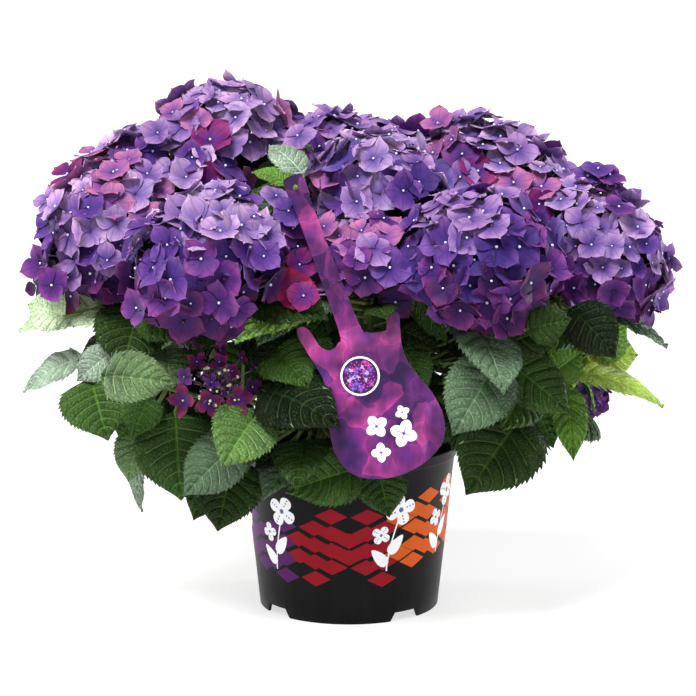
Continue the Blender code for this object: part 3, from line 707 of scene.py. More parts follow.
def card_look():
    """Printed card: a close view of petals, each dark and violet at its heart and paler at its rim."""
    look = Look("card", Roughness=0.34, Coat_Weight=0.15, Coat_Roughness=0.2, Specular_IOR_Level=0.25)
    bent = look.bent(70.0, 0.5, 0.016)
    cells = look.node("TexVoronoi", {"Vector": bent, "Scale": 36.0})
    inks = (34, 14, 62), (80, 26, 92), (112, 34, 100), (136, 54, 112), (64, 26, 94)
    one_of = look.node("SeparateXYZ", {"Vector": cells.outputs["Color"]}).outputs["X"]
    tint = look.ramp(one_of, *((k / 4, srgb(*ink)) for k, ink in enumerate(inks)))
    heart = (0.0, (0.30, 0.45, 0.90)), (0.22, (0.62, 0.68, 0.95))
    outer = (0.48, (1.05, 1.0, 1.0)), (0.80, (1.9, 1.9, 1.6))
    tint = look.times(tint, 0.9, cells.outputs["Distance"], *heart, *outer)
    rims = (0.0, (0.62, 0.58, 0.74)), (0.05, (1.3, 1.25, 1.2)), (0.14, 1.0)
    tint = look.times(tint, 0.6, look.borders(bent, 36.0), *rims)
    cloud = look.noise(26.0, 2.0)
    tint = look.times(tint, 0.9, cloud, (0.40, (0.22, 0.22, 0.42)), (0.62, (1.32, 1.22, 1.18)))
    streaks = look.noise(1.0, 3.0, look.place((190.0, 190.0, 40.0)))
    look.colour(look.times(tint, 0.6, streaks, (0.35, (0.7, 0.7, 0.78)), (0.7, (1.35, 1.25, 1.3))))
    return look.material


# The sepals' tints: at the foot, in the middle and at the rim.
PETALS = {
    "indigo": ((54, 36, 110), (58, 36, 102), (80, 54, 122)),
    "blue": ((78, 62, 142), (88, 70, 138), (116, 98, 162)),
    "violet": ((64, 40, 118), (80, 49, 122), (112, 76, 146)),
    "purple": ((60, 28, 98), (84, 38, 110), (122, 64, 130)),
    "mauve": ((90, 66, 136), (126, 97, 152), (162, 131, 180)),
    "lilac": ((107, 85, 152), (147, 121, 170), (184, 158, 196)),
    # The pearl tint is a pale lilac used as a painted highlight on upward-facing florets.
    "pearl": ((120, 95, 158), (168, 141, 184), (204, 180, 212)),
    "plum": ((46, 19, 76), (60, 23, 76), (94, 36, 88)),
    "magenta": ((78, 28, 108), (102, 26, 92), (138, 48, 108)),
    "rose": ((106, 64, 134), (146, 88, 140), (176, 110, 152)),
    "crimson": ((86, 20, 80), (104, 11, 50), (132, 24, 62)),
    "wine": ((60, 27, 96), (84, 19, 62), (126, 34, 84)),
}

# Painted light: the pale fresh and lit tones, and in part lime, colour leaves that stand in shade paler than
# their own green.
LEAVES = {
    "bright": (92, 130, 48),
    "mid": (58, 88, 32),
    "deep": (46, 72, 26),
    "dark": (36, 56, 17),
    # night: a near-black green; on the listed leaves it is painted shade, and it is also dealt at random
    # among small leaves.
    "night": (18, 31, 11),
    "blue": (84, 108, 80),
    "sage": (98, 124, 80),
    "fern": (86, 118, 58),
    "fresh": (150, 196, 92),
    "frost": (146, 165, 144),
    "lit": (200, 226, 178),
    "lime": (164, 190, 78),
}
VEIN_GAINS = {"night": 2.8, "dark": 2.2, "deep": 2.0, "mid": 1.8, "lit": 1.15}  # how much paler the veins are

# Plain surfaces: colour, roughness, how much they vary, the scale of that, relief in metres, specular level.
PLAIN_LOOKS = {
    # leaf_under: the undersides' own green, darkened as painted shade.
    "leaf_under": ((98, 122, 78), 0.62, 0.10, 90, 0.0003),
    "stalk": ((100, 120, 58), 0.5, 0.22, 120, 0.0002),
    "pedicel": ((126, 104, 134), 0.55, 0.2, 150),
    "bead": ((214, 216, 240), 0.4, 0.1, 300),
    "anther": ((196, 196, 158), 0.4, 0.1, 300),
    "bud": ((96, 40, 90), 0.5, 0.25, 300),
    # core: a near-black purple, painted shade inside the heads.
    "core": ((30, 15, 38), 0.85, 0.4, 120, 0.002),
    "soil": ((50, 38, 30), 0.95, 0.5, 220, 0.002),
    "crumb": ((64, 48, 36), 0.95, 0.6, 140, 0.001),
    "print_white": ((236, 236, 240), 0.42, 0.03),
    "print_blue": ((88, 92, 150), 0.42, 0.1),
    "print_purple": ((82, 28, 92), 0.42, 0.06, 60, 0.0, 0.08),
    "print_red": ((138, 16, 30), 0.42, 0.06, 60, 0.0, 0.08),
    "print_orange": ((198, 84, 26), 0.42, 0.06, 60, 0.0, 0.08),
    "card_edge": ((226, 218, 232), 0.4, 0.03),
    "print_lilac": ((176, 150, 214), 0.4, 0.1, 300),
    "print_violet": ((104, 66, 160), 0.4, 0.15, 300),
    "print_magenta": ((160, 50, 130), 0.4, 0.15, 300),
    "print_night": ((34, 16, 52), 0.4, 0.2, 300),
}


def make_looks():
    looks = {}
    for name, tints in PETALS.items():
        looks["petal_" + name] = petal_look("petal_" + name, *(srgb(*tint) for tint in tints))
    for name, tint in LEAVES.items():
        colour = srgb(*tint)
        looks["leaf_" + name] = leaf_look("leaf_" + name, colour)
        pale = shade(colour, VEIN_GAINS.get(name, 1.45))
        looks["vein_" + name] = plain_look("vein_" + name, pale, 0.5, 0.15, 200.0)
    for name, (tint, *rest) in PLAIN_LOOKS.items():
        looks[name] = plain_look(name, srgb(*tint), *rest)
    looks["bark"] = bark_look("bark", srgb(70, 52, 34), srgb(150, 124, 84))
    looks["green_bark"] = bark_look("green_bark", srgb(70, 84, 38), srgb(126, 140, 76))
    looks["plastic"] = pot_look()
    looks["card"] = card_look()
    return looks


def pot_look():
    """Moulded black plastic: a faint pebbled skin and a few fine upright scuffs."""
    look = Look("plastic", Roughness=0.38, Specular_IOR_Level=0.10)
    scuffs = look.noise(1.0, 3.0, look.place((90.0, 90.0, 7.0)))
    look.colour(look.ramp(scuffs, (0.30, srgb(3, 3, 4)), (0.74, srgb(10, 10, 12))))
    look.bump(look.noise(900.0, 2.0), 0.00012, 0.6)
    return look.material


# ---------------------------------------------------------------- joined meshes


class Joined:
    """Gathers many small surfaces of one kind for one mesh."""

    def __init__(self, looks, *names):
        self.looks, self.names = looks, names
        self.points, self.faces, self.slots, self.uvs, self.count = [], [], [], [], 0

    def add(self, points, faces, name, uvs=None):
        """name is one look, or one for each face."""
        points, faces = np.array(points, float).reshape(-1, 3), np.array(faces, int).reshape(-1, 3)
        names = [name] * len(faces) if isinstance(name, str) else name
        index = {n: k for k, n in enumerate(self.names)}
        self.points.append(points)
        self.faces.append(faces + self.count)
        self.slots.append(np.array([index[n] for n in names], np.int32))
        self.uvs.append(np.zeros((len(points), 2)) if uvs is None else uvs)
        self.count += len(points)

    def solid(self, shape, name):
        """Adds a solid given as points and many-sided faces."""
        self.add(shape[0], triangles(shape[1]), name)

    def build(self, name, slot, *nodes):
        """Makes the mesh, smooth all over, in place of these nodes."""
        faces = np.concatenate(self.faces).astype(np.int32)
        mesh = bpy.data.meshes.new(name)
        mesh.vertices.add(self.count)
        mesh.vertices.foreach_set("co", np.concatenate(self.points).astype(np.float32).ravel())
        mesh.loops.add(faces.size)
        mesh.loops.foreach_set("vertex_index", faces.ravel())
        mesh.polygons.add(len(faces))
        mesh.polygons.foreach_set("loop_start", np.arange(0, faces.size, 3, dtype=np.int32))
        mesh.polygons.foreach_set("material_index", np.concatenate(self.slots))
        mesh.polygons.foreach_set("use_smooth", np.full(len(faces), True))
        uv = mesh.uv_layers.new(name="UVMap")
        uv.data.foreach_set("uv", np.concatenate(self.uvs)[faces.ravel()].astype(np.float32).ravel())
        mesh.update(calc_edges=True)
        mesh.validate()
        return shown(mesh, [self.looks[n] for n in self.names], nodes)


def shown(mesh, materials, nodes):
    """The mesh as a piece that rides the plant and stands for these nodes."""
    for material in materials:
        mesh.materials.append(material)
    made = placed(mesh.name, mesh)
    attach(made, "root")
    if nodes:
        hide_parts(*nodes)
    return made


def placed(name, data, spot=(0, 0, 0), way=None):
    """A new object in the scene, looking this way if one is given."""
    made = bpy.data.objects.new(name, data)
    made.location = spot
    if way:
        made.rotation_euler = Vector(way).to_track_quat("-Z", "Y").to_euler()
    bpy.context.scene.collection.objects.link(made)
    return made


def triangles(faces):
    return [(f[0], f[k], f[k + 1]) for f in faces for k in range(1, len(f) - 1)]


def grid_faces(rows, columns):
    """Triangles of a grid of points numbered row by row."""
    corner = (np.arange(rows - 1)[:, None] * columns + np.arange(columns - 1)).ravel()
    right, above = corner + 1, corner + columns
    return np.concatenate([np.stack([corner, right, above + 1], 1), np.stack([corner, above + 1, above], 1)])


# ---------------------------------------------------------------- florets

SEPAL_U = (0.0, 0.10, 0.24, 0.42, 0.60, 0.76, 0.89, 1.0)
SEPAL_HALF = (0.05, 0.19, 0.39, 0.53, 0.50, 0.37, 0.18, 0.0)  # half its width there, as a share of its length
SEPAL_V = (-1.0, -0.62, -0.22, 0.22, 0.62, 1.0)


def sepal(chance, turn, lift, lean, slim):
    """One sepal's points, a floret's reach being 1, with its UVs: along it and across it."""
    along, across = np.meshgrid(SEPAL_U, SEPAL_V, indexing="ij")
    half = np.interp(along, SEPAL_U, SEPAL_HALF) * chance.uniform(0.86, 1.10) * slim
    length = chance.uniform(0.90, 1.08)
    skew = chance.uniform(-0.08, 0.08)
    x = along * length - 0.07 * across**2 * along**5 + 0.03
    y = across * half + skew * along**2
    cup, curl, phase = chance.uniform(-0.22, 0.14), chance.uniform(-0.55, 0.35), chance.uniform(0, 6.28)
    z = (lean + chance.uniform(-0.10, 0.10)) * along + cup * along**2 + curl * y**2
    z -= 0.05 * (1 - np.abs(across)) * np.sin(np.pi * along)
    z += 0.045 * np.sin(across * 3.4 + phase + along * 4.0) * along**2 + lift
    points = np.stack([x * np.cos(turn) - y * np.sin(turn), x * np.sin(turn) + y * np.cos(turn), z], -1)
    return points.reshape(-1, 3), np.stack([along, across * 0.5 + 0.5], -1).reshape(-1, 2)


def floret_kinds(count, seed, slim=1.0):
    """Several different florets of reach 1: points, triangles, UVs."""
    kinds = []
    size = len(SEPAL_U) * len(SEPAL_V)
    faces = np.concatenate([grid_faces(len(SEPAL_U), len(SEPAL_V)) + k * size for k in range(4)])
    for k in range(count):
        chance = random.Random(seed + k)
        made, lean = [], chance.uniform(-0.05, 0.42)
        for leaf in range(4):
            turn = leaf * math.pi / 2 + chance.uniform(-0.13, 0.13)
            made.append(sepal(chance, turn, 0.035 if leaf % 2 else 0.0, lean, slim))
        kinds.append((np.concatenate([m[0] for m in made]), faces, np.concatenate([m[1] for m in made])))
    return kinds


def axes_of(normal, spin):
    """A turn that takes +Z to the normal, after a spin about it, as a matrix of rows."""
    turn = Quaternion(normal, spin) @ UP.rotation_difference(normal)
    return np.array(turn.to_matrix())


BEAD = ball(Vector((0, 0, 0)), UP, 1.0, 1.0)
BEAD_POINTS, BEAD_FACES = np.array(BEAD[0]), triangles(BEAD[1])

# The tints of each head, from its top to its underside: paler on top as painted highlight, darker below as
# painted shade.
TINTS = {
    "far_left": "pearl lilac rose mauve lilac violet mauve violet purple mauve plum purple plum",
    "front_left": "lilac pearl mauve violet mauve indigo violet purple violet purple plum plum",
    "top_left": "lilac pearl mauve lilac rose violet mauve magenta violet rose plum plum",
    "middle_back": "mauve purple mauve violet magenta purple plum",
    "centre": "pearl lilac mauve lilac mauve blue mauve lilac mauve rose violet mauve",
    "centre_low": "rose mauve violet mauve purple violet purple plum plum",
    "front_right": "mauve violet blue violet purple indigo purple indigo purple plum",
    "top_right": "lilac mauve lilac mauve rose magenta violet purple mauve lilac violet",
    "far_right": "lilac mauve lilac mauve violet mauve purple mauve purple plum",
    "back_left": "lilac mauve violet blue violet purple plum",
    "back_centre": "mauve violet purple indigo violet purple magenta plum",
    "back_right": "mauve blue violet purple violet plum",
    "young_left": "wine 5 plum 2 purple 2 magenta 1",
    "low_right": "purple magenta mauve magenta purple",
}
REACH = 0.0240  # of a floret
REACHES = {"centre_low": 0.0215, "far_right": 0.0210, "young_left": 0.0105, "low_right": 0.0120}
DENSITY = 4.5  # florets for each square reach of a head's skin, roughly
BLEND = 0.013  # metres over which neighbouring heads run into each other


def pick(chance, words):
    """One name from 'name weight name weight'."""
    words = words.split()
    return chance.choices(words[::2], [float(w) for w in words[1::2]])[0]


def head_frames():
    """Each head and lobe, with its middle, axes as rows, and radius."""
    heads = [s for s in SHOOTS if s.radius] + LOBES
    turns = [np.array(UP.rotation_difference(head_axis(s)).to_matrix()).T for s in heads]
    return heads, [np.array(s.end) for s in heads], turns, [s.radius for s in heads]


def outside(spots, frames):
    """How far the spots stand outside each head, one column for each."""
    columns = []
    for _, middle, turn, radius in zip(*frames):
        local = (spots - middle) @ turn.T
        local[:, 2] /= HEAD_SQUASH
        columns.append(np.linalg.norm(local, axis=1) - radius)
    return np.stack(columns, 1)


def blended(spots, frames):
    """How far the spots stand outside all the heads, which run softly into each other."""
    return -BLEND * np.log(np.exp(-outside(spots, frames) / BLEND).sum(1))


def bloom_spots(number, frames, count, wrap):
    """Spots spread over one head's share of the crown of bloom, with the ways that they face."""
    _, middles, turns, radii = frames
    share = (np.arange(count) + 0.5) / count
    polar = np.arccos(1 - share * (1 - math.cos(wrap)))
    round_it = np.arange(count) * GOLDEN
    ways = np.stack([np.cos(round_it) * np.sin(polar), np.sin(round_it) * np.sin(polar), np.cos(polar)], 1)
    ways = ways @ turns[number]
    low, high = np.full(count, 0.5 * radii[number]), np.full(count, 1.30 * radii[number])
    for _ in range(14):
        half = (low + high) / 2
        inside = blended(middles[number] + ways * half[:, None], frames) < 0
        low, high = np.where(inside, half, low), np.where(inside, high, half)
    spots = middles[number] + ways * low[:, None]
    gaps = outside(spots, frames)
    mine = (gaps.argmin(1) == number) | (gaps[:, number] - gaps.min(1) < 0.003)
    mine &= low < 1.29 * radii[number]
    steps = np.eye(3) * 0.001
    slope = np.stack([blended(spots + s, frames) - blended(spots - s, frames) for s in steps], 1)
    return [(Vector(a), Vector(b).normalized()) for a, b, ok in zip(spots, slope, mine) if ok]


def hub_of(shoot):
    """Where a head's own stalks branch."""
    return Vector(shoot.end) - head_axis(shoot) * shoot.radius * HUB_DEPTH


def random_way(chance, spread):
    return Vector([chance.gauss(0, spread) for _ in range(3)])


def build_heads(looks, greens, curves, kinds, slim_kinds, stalks):
    names = ["petal_" + n for n in PETALS] + ["bead", "bud", "anther", "core"]
    frames = head_frames()
    blooms = {s.name: Joined(looks, *names) for s in frames[0]}
    for number, shoot in enumerate(frames[0]):
        if shoot.name == "young_left":
            young_head(blooms[shoot.name], shoot, slim_kinds, stalks)
        else:
            full_head(blooms[shoot.name], number, frames, greens, kinds, stalks)
        axis, hub, ends = head_axis(shoot), hub_of(shoot), curves[shoot.name][1]
        if shoot in LOBES:
            stalk = [ends[2], (ends[2] + hub) / 2 - UP * 0.008, hub, shoot.end]
        else:
            stalk = [curve_point(ends, LEAFY_END), ends[2], hub, shoot.end]
        stalks.solid(tube(stalk, [TIP_RADIUS * f for f in (1.1, 1.2, 1.1, 0.8)], 8), "stalk")
        for k in range(9):
            side = Quaternion(axis, k * GOLDEN) @ axis.orthogonal().normalized()
            tip = hub + (axis * 0.75 + side * 0.75).normalized() * shoot.radius * 0.55
            branch = (hub, (hub + tip) / 2 + side * 0.003, tip)
            stalks.solid(tube(branch, (0.0020, 0.0016, 0.0011), 5), "pedicel")
    for name, bloom in blooms.items():
        bloom.build("bloom_" + name, "purple_sepal", "head_" + name)


def place_floret(bloom, floret, kind, tint, bead):
    points, faces, uvs = kind
    turn = axes_of(floret.normal, floret.spin)
    bloom.add(points * floret.reach @ turn.T + np.array(floret.centre), faces, "petal_" + tint, uvs)
    middle = np.array(floret.centre + floret.normal * floret.reach * 0.06)
    bloom.add(BEAD_POINTS * floret.reach * 0.060 + middle, BEAD_FACES, bead)


def full_head(bloom, number, frames, greens, kinds, stalks):
    """A head in full flower: florets all over its share of the crown, round a dark middle that is painted
    shade.
    """
    shoot = frames[0][number]
    chance = random.Random(500 + number)
    axis, centre, hub = head_axis(shoot), Vector(shoot.end), hub_of(shoot)
    reach = REACHES.get(shoot.name, REACH)
    tints = TINTS[shoot.name].split()
    front = 0.9 if shoot.name == "centre_low" else 0.0
    wrap = math.radians(172 if shoot in LOBES or shoot.name == "centre" else 144)
    count = round(DENSITY * (shoot.radius / reach) ** 2 * (1 - math.cos(wrap)))
    for spot, normal in bloom_spots(number, frames, count, wrap):
        size = reach * (chance.uniform(0.86, 1.12) if chance.random() < 0.85 else chance.uniform(0.58, 0.78))
        face = normal.z
        wobble = 0.06 * noise.noise((spot - centre).normalized() * 2.4 + Vector((number * 3.0, 0, 0)))
        spot = spot + normal * (shoot.radius * (chance.uniform(-0.15, 0.0) + wobble) - size * 0.27)
        normal = (normal + random_way(chance, 0.26) + UP * 0.16 + TO_FRONT * front).normalized()
        floret = Floret(spot, normal, chance.uniform(0, math.pi / 2), size)
        if not greens.has_room(flower(floret), shoot.name, ("stem",)):
            continue
        # The tint runs paler on florets that face up, as a painted highlight, and darker on those that face
        # down, as painted shade.
        depth = 0.5 - 0.55 * (face - 0.25) + 0.5 * noise.noise(spot * 17.0 + Vector((0, 0, number)))
        depth += chance.gauss(0, 0.13)
        tint = tints[max(0, min(len(tints) - 1, int(depth * len(tints))))]
        kind = kinds[chance.randrange(len(kinds))]
        place_floret(bloom, floret, kind, tint, "bead" if chance.random() < 0.7 else "bud")
        back = spot - normal * size * 0.02
        inner = hub + (spot - hub) * 0.25
        bend = (inner + back) / 2 - axis * shoot.radius * 0.06
        stalks.solid(tube((inner, bend, back), (0.0013, 0.0009, 0.0007), 4), "pedicel")
    bloom.solid(rough_ball(centre, axis, shoot.radius * 0.68, chance), "core")


# The young head's florets: how far across to the right and up, in radii of the head, and their reach.
YOUNG_FLORETS = (
    (-0.95, -0.40, 0.0190), (-0.24, -0.52, 0.0160), (0.58, -0.44, 0.0165), (0.98, -0.06, 0.0130),
    (-0.55, 0.68, 0.0125), (0.06, 0.62, 0.0105), (0.42, 0.38, 0.0095), (1.10, 0.50, 0.0100),
    (-0.16, 0.06, 0.0095), (-0.92, 0.24, 0.0125), (0.12, 0.98, 0.0090), (0.70, 0.80, 0.0090),
)


def young_head(bloom, shoot, kinds, stalks):
    """A half-open head: a loose ring of slim dark florets round a tuft of buds, each on its own stalk."""
    chance = random.Random(61)
    axis = (Vector((0.1, -1.0, 0.35))).normalized()
    side, up = axis.cross(UP).normalized(), axis.cross(axis.cross(UP)).normalized() * -1
    centre, radius = Vector(shoot.end), shoot.radius
    hub = centre - axis * radius * 0.7
    for right, high, reach in YOUNG_FLORETS:
        spot = centre + (up * high - side * right) * radius
        spot += axis * radius * (0.45 * (1 - math.hypot(right, high)) + chance.uniform(-0.12, 0.12))
        normal = (axis + (spot - centre) / radius * 0.5 + random_way(chance, 0.22)).normalized()
        floret = Floret(spot, normal, chance.uniform(0, math.pi / 2), reach)
        tint = pick(chance, TINTS[shoot.name])
        place_floret(bloom, floret, kinds[chance.randrange(len(kinds))], tint, "anther")
        stalks.solid(tube((hub + (spot - hub) * 0.2, spot), (0.0009, 0.0006), 4), "pedicel")
    for _ in range(80):
        around, out = chance.uniform(0, 6.28), math.sqrt(chance.random()) * 0.66
        spot = centre + circled(side, up, around) * radius * out
        spot += axis * radius * (0.35 - 0.3 * out + chance.uniform(-0.1, 0.1))
        stalks.solid(tube((hub + (spot - hub) * 0.3, spot), (0.0008, 0.0005), 3), "pedicel")
        bud = BEAD_POINTS * chance.uniform(0.0010, 0.0020) + np.array(spot)
        bloom.add(bud, BEAD_FACES, pick(chance, "bud 5 anther 2 petal_magenta 2 petal_plum 2"))


# Florets that close a gap or stand out from a head: head, middle, lean to the front, reach, tint.
STRAY_FLORETS = rows_of("""
    far_left -296 -20 468 500 22 magenta
    far_left -272 0 489 400 21.5 rose
    far_left -316 -30 442 500 20 mauve
    far_left -322 -52 378 800 22 purple
    far_left -306 -92 361 1000 21.5 purple
    far_left -327 -50 354 600 18 plum
    far_left -290 -60 345 800 20 wine
    far_right 253 0 464 900 20 violet
    far_right 276 0 455 800 20 purple
    far_right 294 -10 444 700 19 violet
    far_right 243 20 459 700 20 rose
    far_right 264 12 450 900 20 purple
    far_right 284 6 440 900 20 plum
    far_right 327 -30 338 600 19 violet
    far_right 316 -34 326 600 18 purple
    top_right 96 60 515 800 21 rose
    top_right 113 58 518 800 21 mauve
    top_right 104 66 505 900 21 purple
    centre 55 -109 460 500 22 violet
    centre 71 -101 468 500 22 indigo
    top_left -177 10 516 500 22 mauve
    top_left -160 7 522 500 20 rose
    centre 8 -100 448 500 22 mauve
    far_left -244 -60 474 500 21 rose
    front_left -211 -180 351 500 21 purple
    far_left -210 -49 471 500 21 mauve
    top_right 118 -1 463 500 21 mauve
    top_right 199 -33 438 500 20 magenta
    front_right 109 -216 354 500 20 plum
    front_left -84 -206 406 500 20 violet
    far_right 222 -37 443 500 20 lilac
    far_left -230 -34 484 500 19 rose
    top_left -164 -32 487 500 19 violet
    front_right 92 -217 376 500 19 plum
    far_left -247 -108 389 500 19 mauve
    centre_low 35 -130 434 500 19 purple
    centre_low -57 -175 370 4000 22.5 crimson
    centre_low -45 -185 364 4000 18.5 magenta
    front_left -50 -150 390 1500 18 magenta
    front_left -52 -140 407 1500 18 plum
    front_left -57 -130 424 1500 19 purple
    front_left -74 -120 456 1500 18 mauve
    centre_low -25 -130 426 1000 18 rose
    far_right 264 0 472 800 19 violet
    far_right 276 -5 466 800 19 purple
    front_left -61 -140 443 4000 18 violet
    centre -53 -50 511 1000 20 mauve
    top_left -202 0 510 1000 18 mauve
""")

# Two tiny late blooms: shoot, middle, radius, tints and number of florets.
TINY_BLOOMS = (
    ("far_right", (0.276, -0.062, 0.284), 0.013, "plum 3 indigo 2 purple 2", 9),
    ("sprig_front", (-0.084, -0.104, 0.178), 0.012, "crimson 3 magenta 3 plum 1", 8),
)


def build_strays(looks, greens, curves, kinds, slim_kinds, stalks):
    """Small blooms away from the heads, each on a thin stalk of its own."""
    bloom = Joined(looks, *("petal_" + n for n in PETALS), "bead", "bud")
    chance = random.Random(88)
    heads = {s.name: s for s in SHOOTS}
    for name, *spot, lean, reach, tint in STRAY_FLORETS:
        spot, hub = Vector(spot), hub_of(heads[name])
        way = ((spot - hub).normalized() + TO_FRONT * lean).normalized()
        floret = Floret(spot, way, chance.uniform(0, math.pi / 2), reach)
        if greens.has_room(flower(floret), name, ("stem",)):
            place_floret(bloom, floret, kinds[chance.randrange(len(kinds))], tint, "bead")
            branch = (hub, (hub + spot) / 2 - UP * 0.004, spot)
            stalks.solid(tube(branch, (0.0012, 0.0010, 0.0008), 5), "pedicel")
    for shoot, spot, radius, words, count in TINY_BLOOMS:
        spot = Vector(spot)
        root = nearest_on(curves[shoot][1], spot)
        stalks.solid(tube((root, (root + spot) / 2 - UP * 0.003, spot), (0.0016, 0.0014, 0.0010), 6), "stalk")
        for k in range(count):
            way = (Vector((0, -0.6, 0.4)) + random_way(chance, 0.6)).normalized()
            spin, reach = chance.uniform(0, 1.6), radius * chance.uniform(0.40, 0.62)
            floret = Floret(spot + way * radius * 0.7, way, spin, reach)
            place_floret(bloom, floret, slim_kinds[k % len(slim_kinds)], pick(chance, words), "bud")
            stalks.solid(tube((spot, floret.centre), (0.0007, 0.0005), 3), "pedicel")
    bloom.build("bloom_strays", "purple_sepal")


def rough_ball(centre, axis, radius, chance):
    """A dark knobbly middle, painted shade, that closes the view between the florets."""
    rings, sides = 12, 20
    points = []
    turn = UP.rotation_difference(axis)
    shift = Vector((chance.uniform(0, 9), chance.uniform(0, 9), 0))
    for i in range(rings + 1):
        polar = math.pi * i / rings
        for k in range(sides):
            out = level_spot(2 * math.pi * k / sides, math.sin(polar), math.cos(polar))
            size = radius * (1 + 0.14 * noise.noise(out * 4 + shift))
            points.append(centre + turn @ Vector((out.x, out.y, out.z * HEAD_SQUASH)) * size)
    return points, bands(rings, sides, flip=True)


# ---------------------------------------------------------------- leaves

BLADE_S = (0.0, 0.05, 0.12, 0.20, 0.30, 0.42, 0.54, 0.64, 0.73, 0.81, 0.88, 0.94, 1.0)
BLADE_WIDTH = (0.10, 0.42, 0.72, 0.90, 1.00, 1.02, 0.98, 0.88, 0.73, 0.53, 0.32, 0.14, 0.0)
VEINS = 8
FIRST_VEIN = 0.45  # the first side vein's place, as a share of the space between two
VEIN = 0.050  # half a side vein's width, as a share of that space


def blade_lines(fine):
    """The shares at which lines cross the blade, and whether each lies on a vein."""
    steps = (-VEIN, 0.0, VEIN, 0.36, 0.64) if fine else (0.0, 0.5)
    lines = [0.0] + [(k + FIRST_VEIN + step) / VEINS for k in range(VEINS) for step in steps] + [1.0]
    return np.array(sorted(min(1.0, max(0.0, line)) for line in lines))


FINE_LINES, COARSE_LINES = blade_lines(True), blade_lines(False)
FINE_ACROSS = np.array((0.0, 0.035, 0.13, 0.32, 0.54, 0.76, 0.91, 1.0))
COARSE_ACROSS = np.array((0.0, 0.35, 0.70, 1.0))


def off_vein(line):
    """How far a line lies from the nearest side vein, as a share of the space between two."""
    return abs((line * VEINS - FIRST_VEIN + 0.5) % 1.0 - 0.5)


def blade_surface(leaf, traits, lines, across, sign, sink):
    """Points of one half of a blade's face, as a grid of lines by steps across, with its UVs."""
    length = (leaf.tip - leaf.base).length
    fold, droop, twist, wave, phase, puff = traits
    line, step = np.meshgrid(lines, across, indexing="ij")
    share = line + 0.30 * np.sin(np.pi * line) * (1 - 0.35 * line) * (0.7 * step + 0.3 * step**2)
    half = np.interp(share, BLADE_S, BLADE_WIDTH) * leaf.width / 2
    out = step * half
    between = (line * VEINS - FIRST_VEIN) % 1.0
    swell = 1 - np.abs(2 * between - 1) ** 3
    rise = LEAF_ARCH * length * 4 * share * (1 - share) - droop * length * share**2.5
    rise += out * LEAF_FOLD * fold - 0.10 * out * step
    rise += puff * length * swell * np.sqrt(np.clip(step * (1.02 - step), 0, 1)) * 2
    rise += wave * length * np.sin(6.28 * (2.6 * share + phase)) * step**2
    rise -= 0.010 * length * np.exp(-((step / 0.06) ** 2)) + sink * (1 - 0.7 * step)
    angle = twist * (share - 0.25)
    along, side, normal = (np.array(v) for v in leaf_axes(leaf))
    flat = sign * out * np.cos(angle) - rise * np.sin(angle) * 0.3
    up = rise + sign * out * np.sin(angle)
    spot = np.array(leaf.base) + along * (share * length)[..., None]
    spot = spot + side * flat[..., None] + normal * up[..., None]
    return spot, np.stack([share, sign * step * 0.5 + 0.5], -1)


def add_leaf(joined, stalks, leaf, tone, led, chance):
    length = (leaf.tip - leaf.base).length
    traits = (
        chance.uniform(0.5, 1.25),
        chance.uniform(0.0, 0.06),
        chance.uniform(-0.45, 0.45) * (0.4 if led else 1.0),
        chance.uniform(0.004, 0.014),
        chance.random(),
        chance.uniform(0.030, 0.046),
    )
    steps = len(FINE_ACROSS)
    for sign in (-1, 1):
        spot, uv = blade_surface(leaf, traits, FINE_LINES, FINE_ACROSS, sign, 0.0)
        faces = grid_faces(len(FINE_LINES), steps)
        if sign < 0:
            faces = faces[:, ::-1]
        cells = (len(FINE_LINES) - 1) * (steps - 1)
        cell = np.tile(np.arange(cells), 2)
        row, column = cell // (steps - 1), cell % (steps - 1)
        middle = (FINE_LINES[row] + FINE_LINES[row + 1]) / 2
        vein = ((off_vein(middle) < VEIN) & (column < 5) & (row > 0)) | (column == 0)
        names = np.where(vein, "vein_" + tone, "leaf_" + tone).tolist()
        joined.add(spot, faces, names, uv.reshape(-1, 2))
        teeth(joined, spot[:, -1], spot[:, -2], "leaf_" + tone, sign)
        spot, uv = blade_surface(leaf, traits, COARSE_LINES, COARSE_ACROSS, sign, 0.0005)
        faces = grid_faces(len(COARSE_LINES), len(COARSE_ACROSS))
        joined.add(spot, faces if sign < 0 else faces[:, ::-1], "leaf_under", uv.reshape(-1, 2))
    bow = (leaf.root + leaf.base) / 2 - UP * (leaf.root - leaf.base).length * 0.06
    ends = (leaf.root, bow * 2 - (leaf.root + leaf.base) / 2, leaf.base)
    inside = leaf.base + leaf_axes(leaf)[0] * length * 0.06
    radius = 0.0016 + 0.0006 * min(1.0, length / 0.1)
    path = stretch(ends, 0.0, 1.0, 5) + [inside]
    stalks.solid(tube(path, [radius * f for f in (1.5, 1.1, 1.0, 0.95, 0.9, 0.95, 0.5)], 6), "stalk")


def teeth(joined, edge, inner, name, sign):
    """The saw teeth of one edge, each pointing forwards."""
    keep = [k for k, gap in enumerate(off_vein(FINE_LINES)) if not 0.01 < gap < VEIN * 1.2]
    points, faces = [], []
    for first, second in zip(keep, keep[1:]):
        a, b = edge[first], edge[second]
        run = b - a
        span = np.linalg.norm(run)
        out = edge[first] - inner[first]
        size = np.linalg.norm(out)
        if span < 1e-5 or size < 1e-6:
            continue
        tip = a + run * 0.92 + out / size * span * 0.62
        faces.append((len(points), len(points) + 1, len(points) + 2))
        points += [a, tip, b] if sign > 0 else [a, b, tip]
    joined.add(points, faces, name)


# Paired leaves whose tone the photograph shows, by shoot and number on it; young_left's first leaf is night,
# painted shade.
PAIR_TONES = {("young_left", 0): "night", ("sprig_front", 8): "deep", ("front_right", 9): "blue"}
